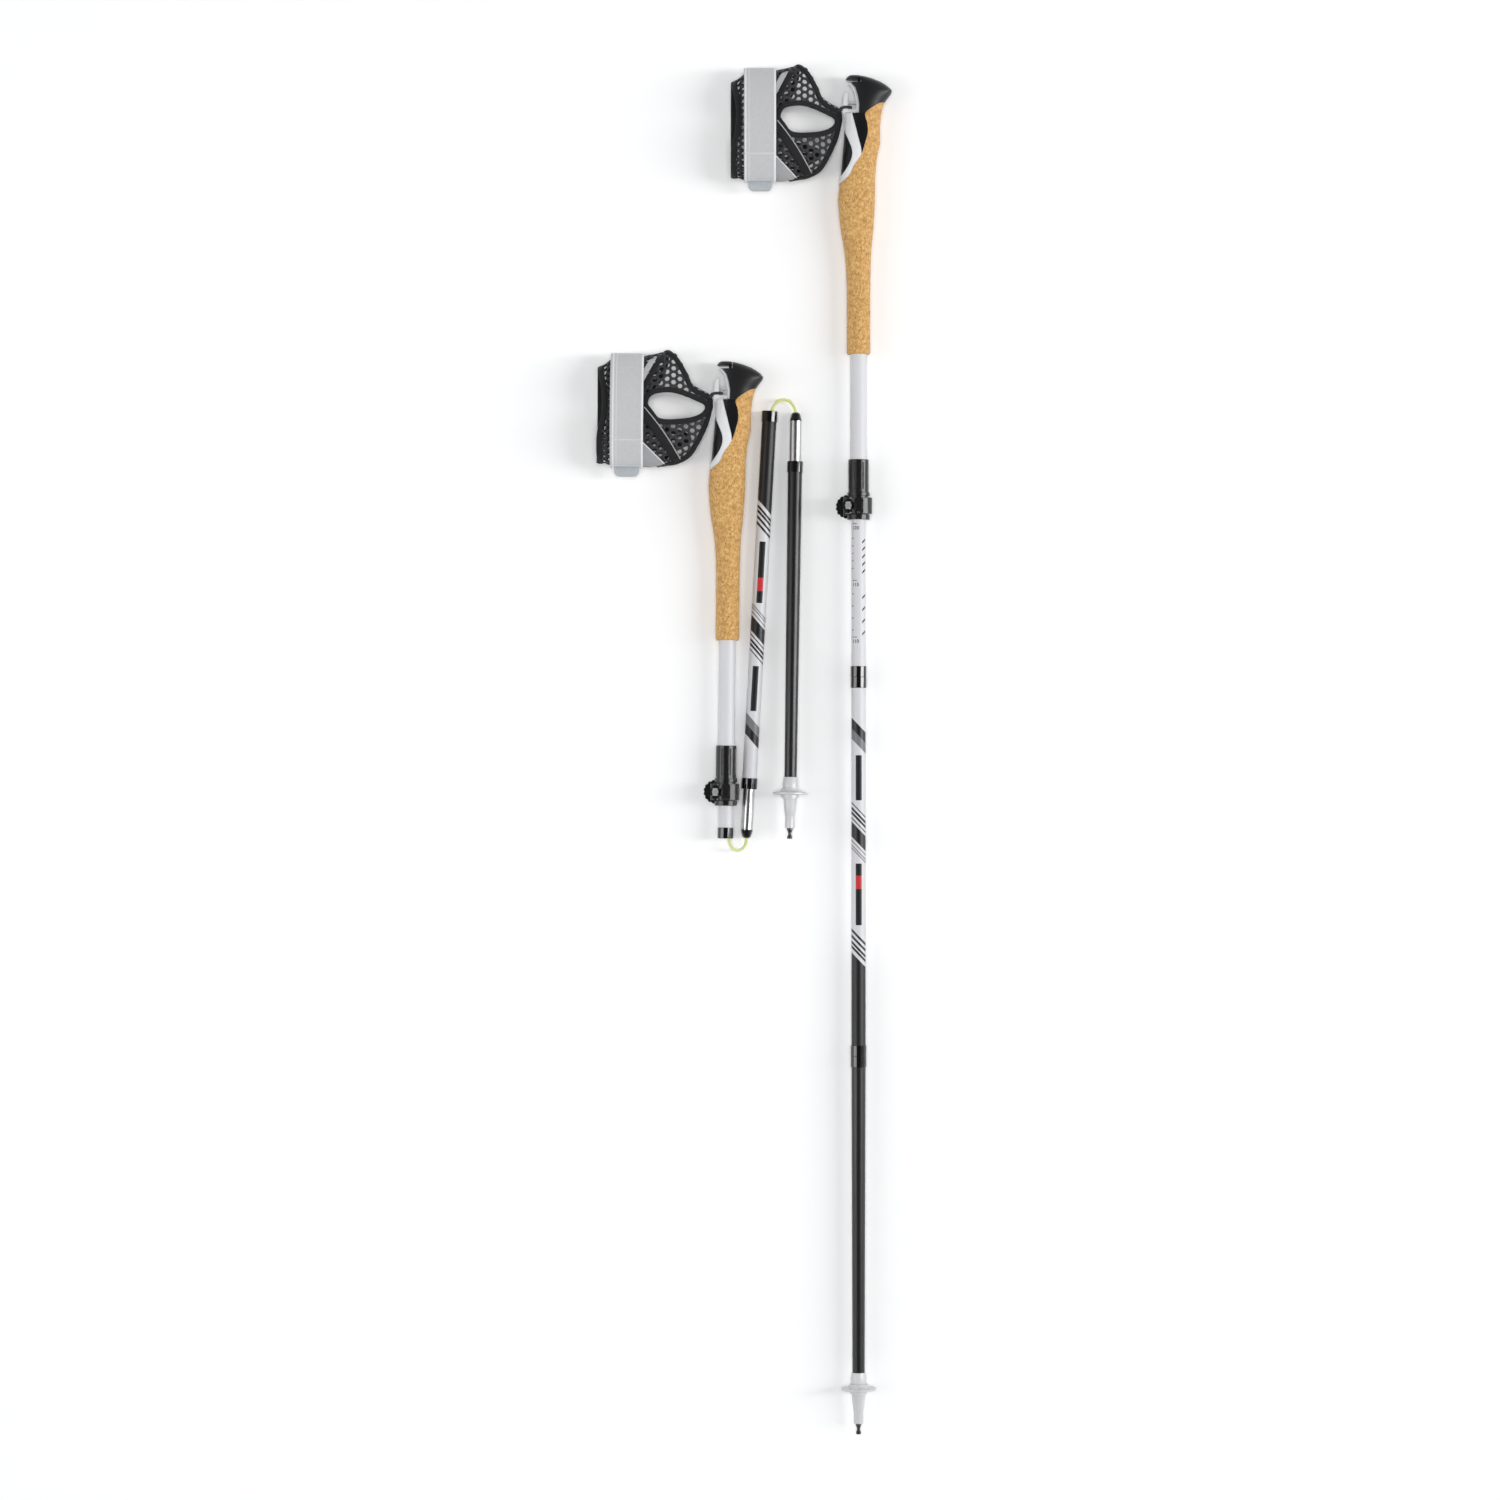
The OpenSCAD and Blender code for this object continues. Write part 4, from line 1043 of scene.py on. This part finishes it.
def figure(name, text, height, place):
    """A printed number whose face lies on the tube, left of its middle."""
    letters = bpy.data.curves.new(name, "FONT")
    letters.body = text
    letters.size = FIGURE_MM
    letters.align_x = "CENTER"
    letters.extrude = 0.02
    letters.offset = 0.07
    holder = bpy.data.objects.new(name, letters)
    scene.collection.objects.link(holder)
    bpy.context.view_layer.update()
    mesh = bpy.data.meshes.new_from_object(holder)
    bpy.data.objects.remove(holder)
    for v in mesh.vertices:
        angle = (v.co.x - FIGURE_LEFT) / TUBE_R
        radius = TUBE_R + FIGURE_OUT + v.co.z
        across, depth = radius * math.sin(angle), -radius * math.cos(angle)
        v.co = place @ Vector((across, depth, height + v.co.y))
    mesh.update()
    obj = bpy.data.objects.new(name, mesh)
    scene.collection.objects.link(obj)
    return obj


ink = moulded("print_ink", (0.02, 0.02, 0.021), 0.3, 0.5, 0.002)
for pole in POLES:
    for text, height in FIGURES:
        obj = figure(f"{pole}_scale_{text}", text, height, PLACES[pole]["adjust"])
        obj.data.materials.append(ink)
        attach(obj, f"{pole}_adjust")

# ---- Floor and light ----

FLOOR_SIZE = 40.0
FLOOR_DROP = 0.0004

paper = Surface("floor_paper")
paper.set(Base_Color=paper.mix(paper.noise(400, 2), (0.94, 0.94, 0.94), (0.97, 0.97, 0.97)),
          Roughness=0.9, Specular_IOR_Level=0.1)
corners = [(x * FLOOR_SIZE, y * FLOOR_SIZE, 0) for x, y in ((-1, -1), (1, -1), (1, 1), (-1, 1))]
floor = mesh_object("floor", corners, [(0, 1, 2, 3)], Matrix.Translation((0, 0, -FLOOR_DROP)))
floor.data.materials.append(paper.material)


def light(name, place, target, size, watts):
    data = bpy.data.lights.new(name, "AREA")
    data.shape = "RECTANGLE"
    data.size, data.size_y = size
    data.energy = watts
    obj = bpy.data.objects.new(name, data)
    obj.location = place
    obj.rotation_euler = (Vector(target) - Vector(place)).to_track_quat("-Z", "Y").to_euler()
    scene.collection.objects.link(obj)
    return obj


light("key", (5.0, 0.3, 3.4), (0, 0, 0), (1.0, 5.0), 205)
light("fill", (-4.6, -0.3, 3.6), (0, 0, 0), (1.4, 5.0), 90)
# Light from straight above, kept out of the reflections, so that the black parts stay black
overhead = light("overhead", (0, 0, 5.0), (0, 0, 0), (1.5, 1.5), 112)
overhead.visible_glossy = False

world = bpy.data.worlds.new("studio")
world.use_nodes = True
tree = world.node_tree
height = tree.nodes.new("ShaderNodeSeparateXYZ")
tree.links.new(tree.nodes.new("ShaderNodeTexCoord").outputs["Generated"], height.inputs[0])
dome = tree.nodes.new("ShaderNodeValToRGB")
dome.color_ramp.elements[0].color = (0.85, 0.87, 0.9, 1)
dome.color_ramp.elements[1].color = (0.03, 0.03, 0.03, 1)
dome.color_ramp.elements.new(0.5).color = (0.30, 0.31, 0.32, 1)
tree.links.new(height.outputs["Z"], dome.inputs["Fac"])
tree.links.new(dome.outputs["Color"], tree.nodes["Background"].inputs["Color"])
scene.world = world
scene.view_settings.view_transform = "Standard"
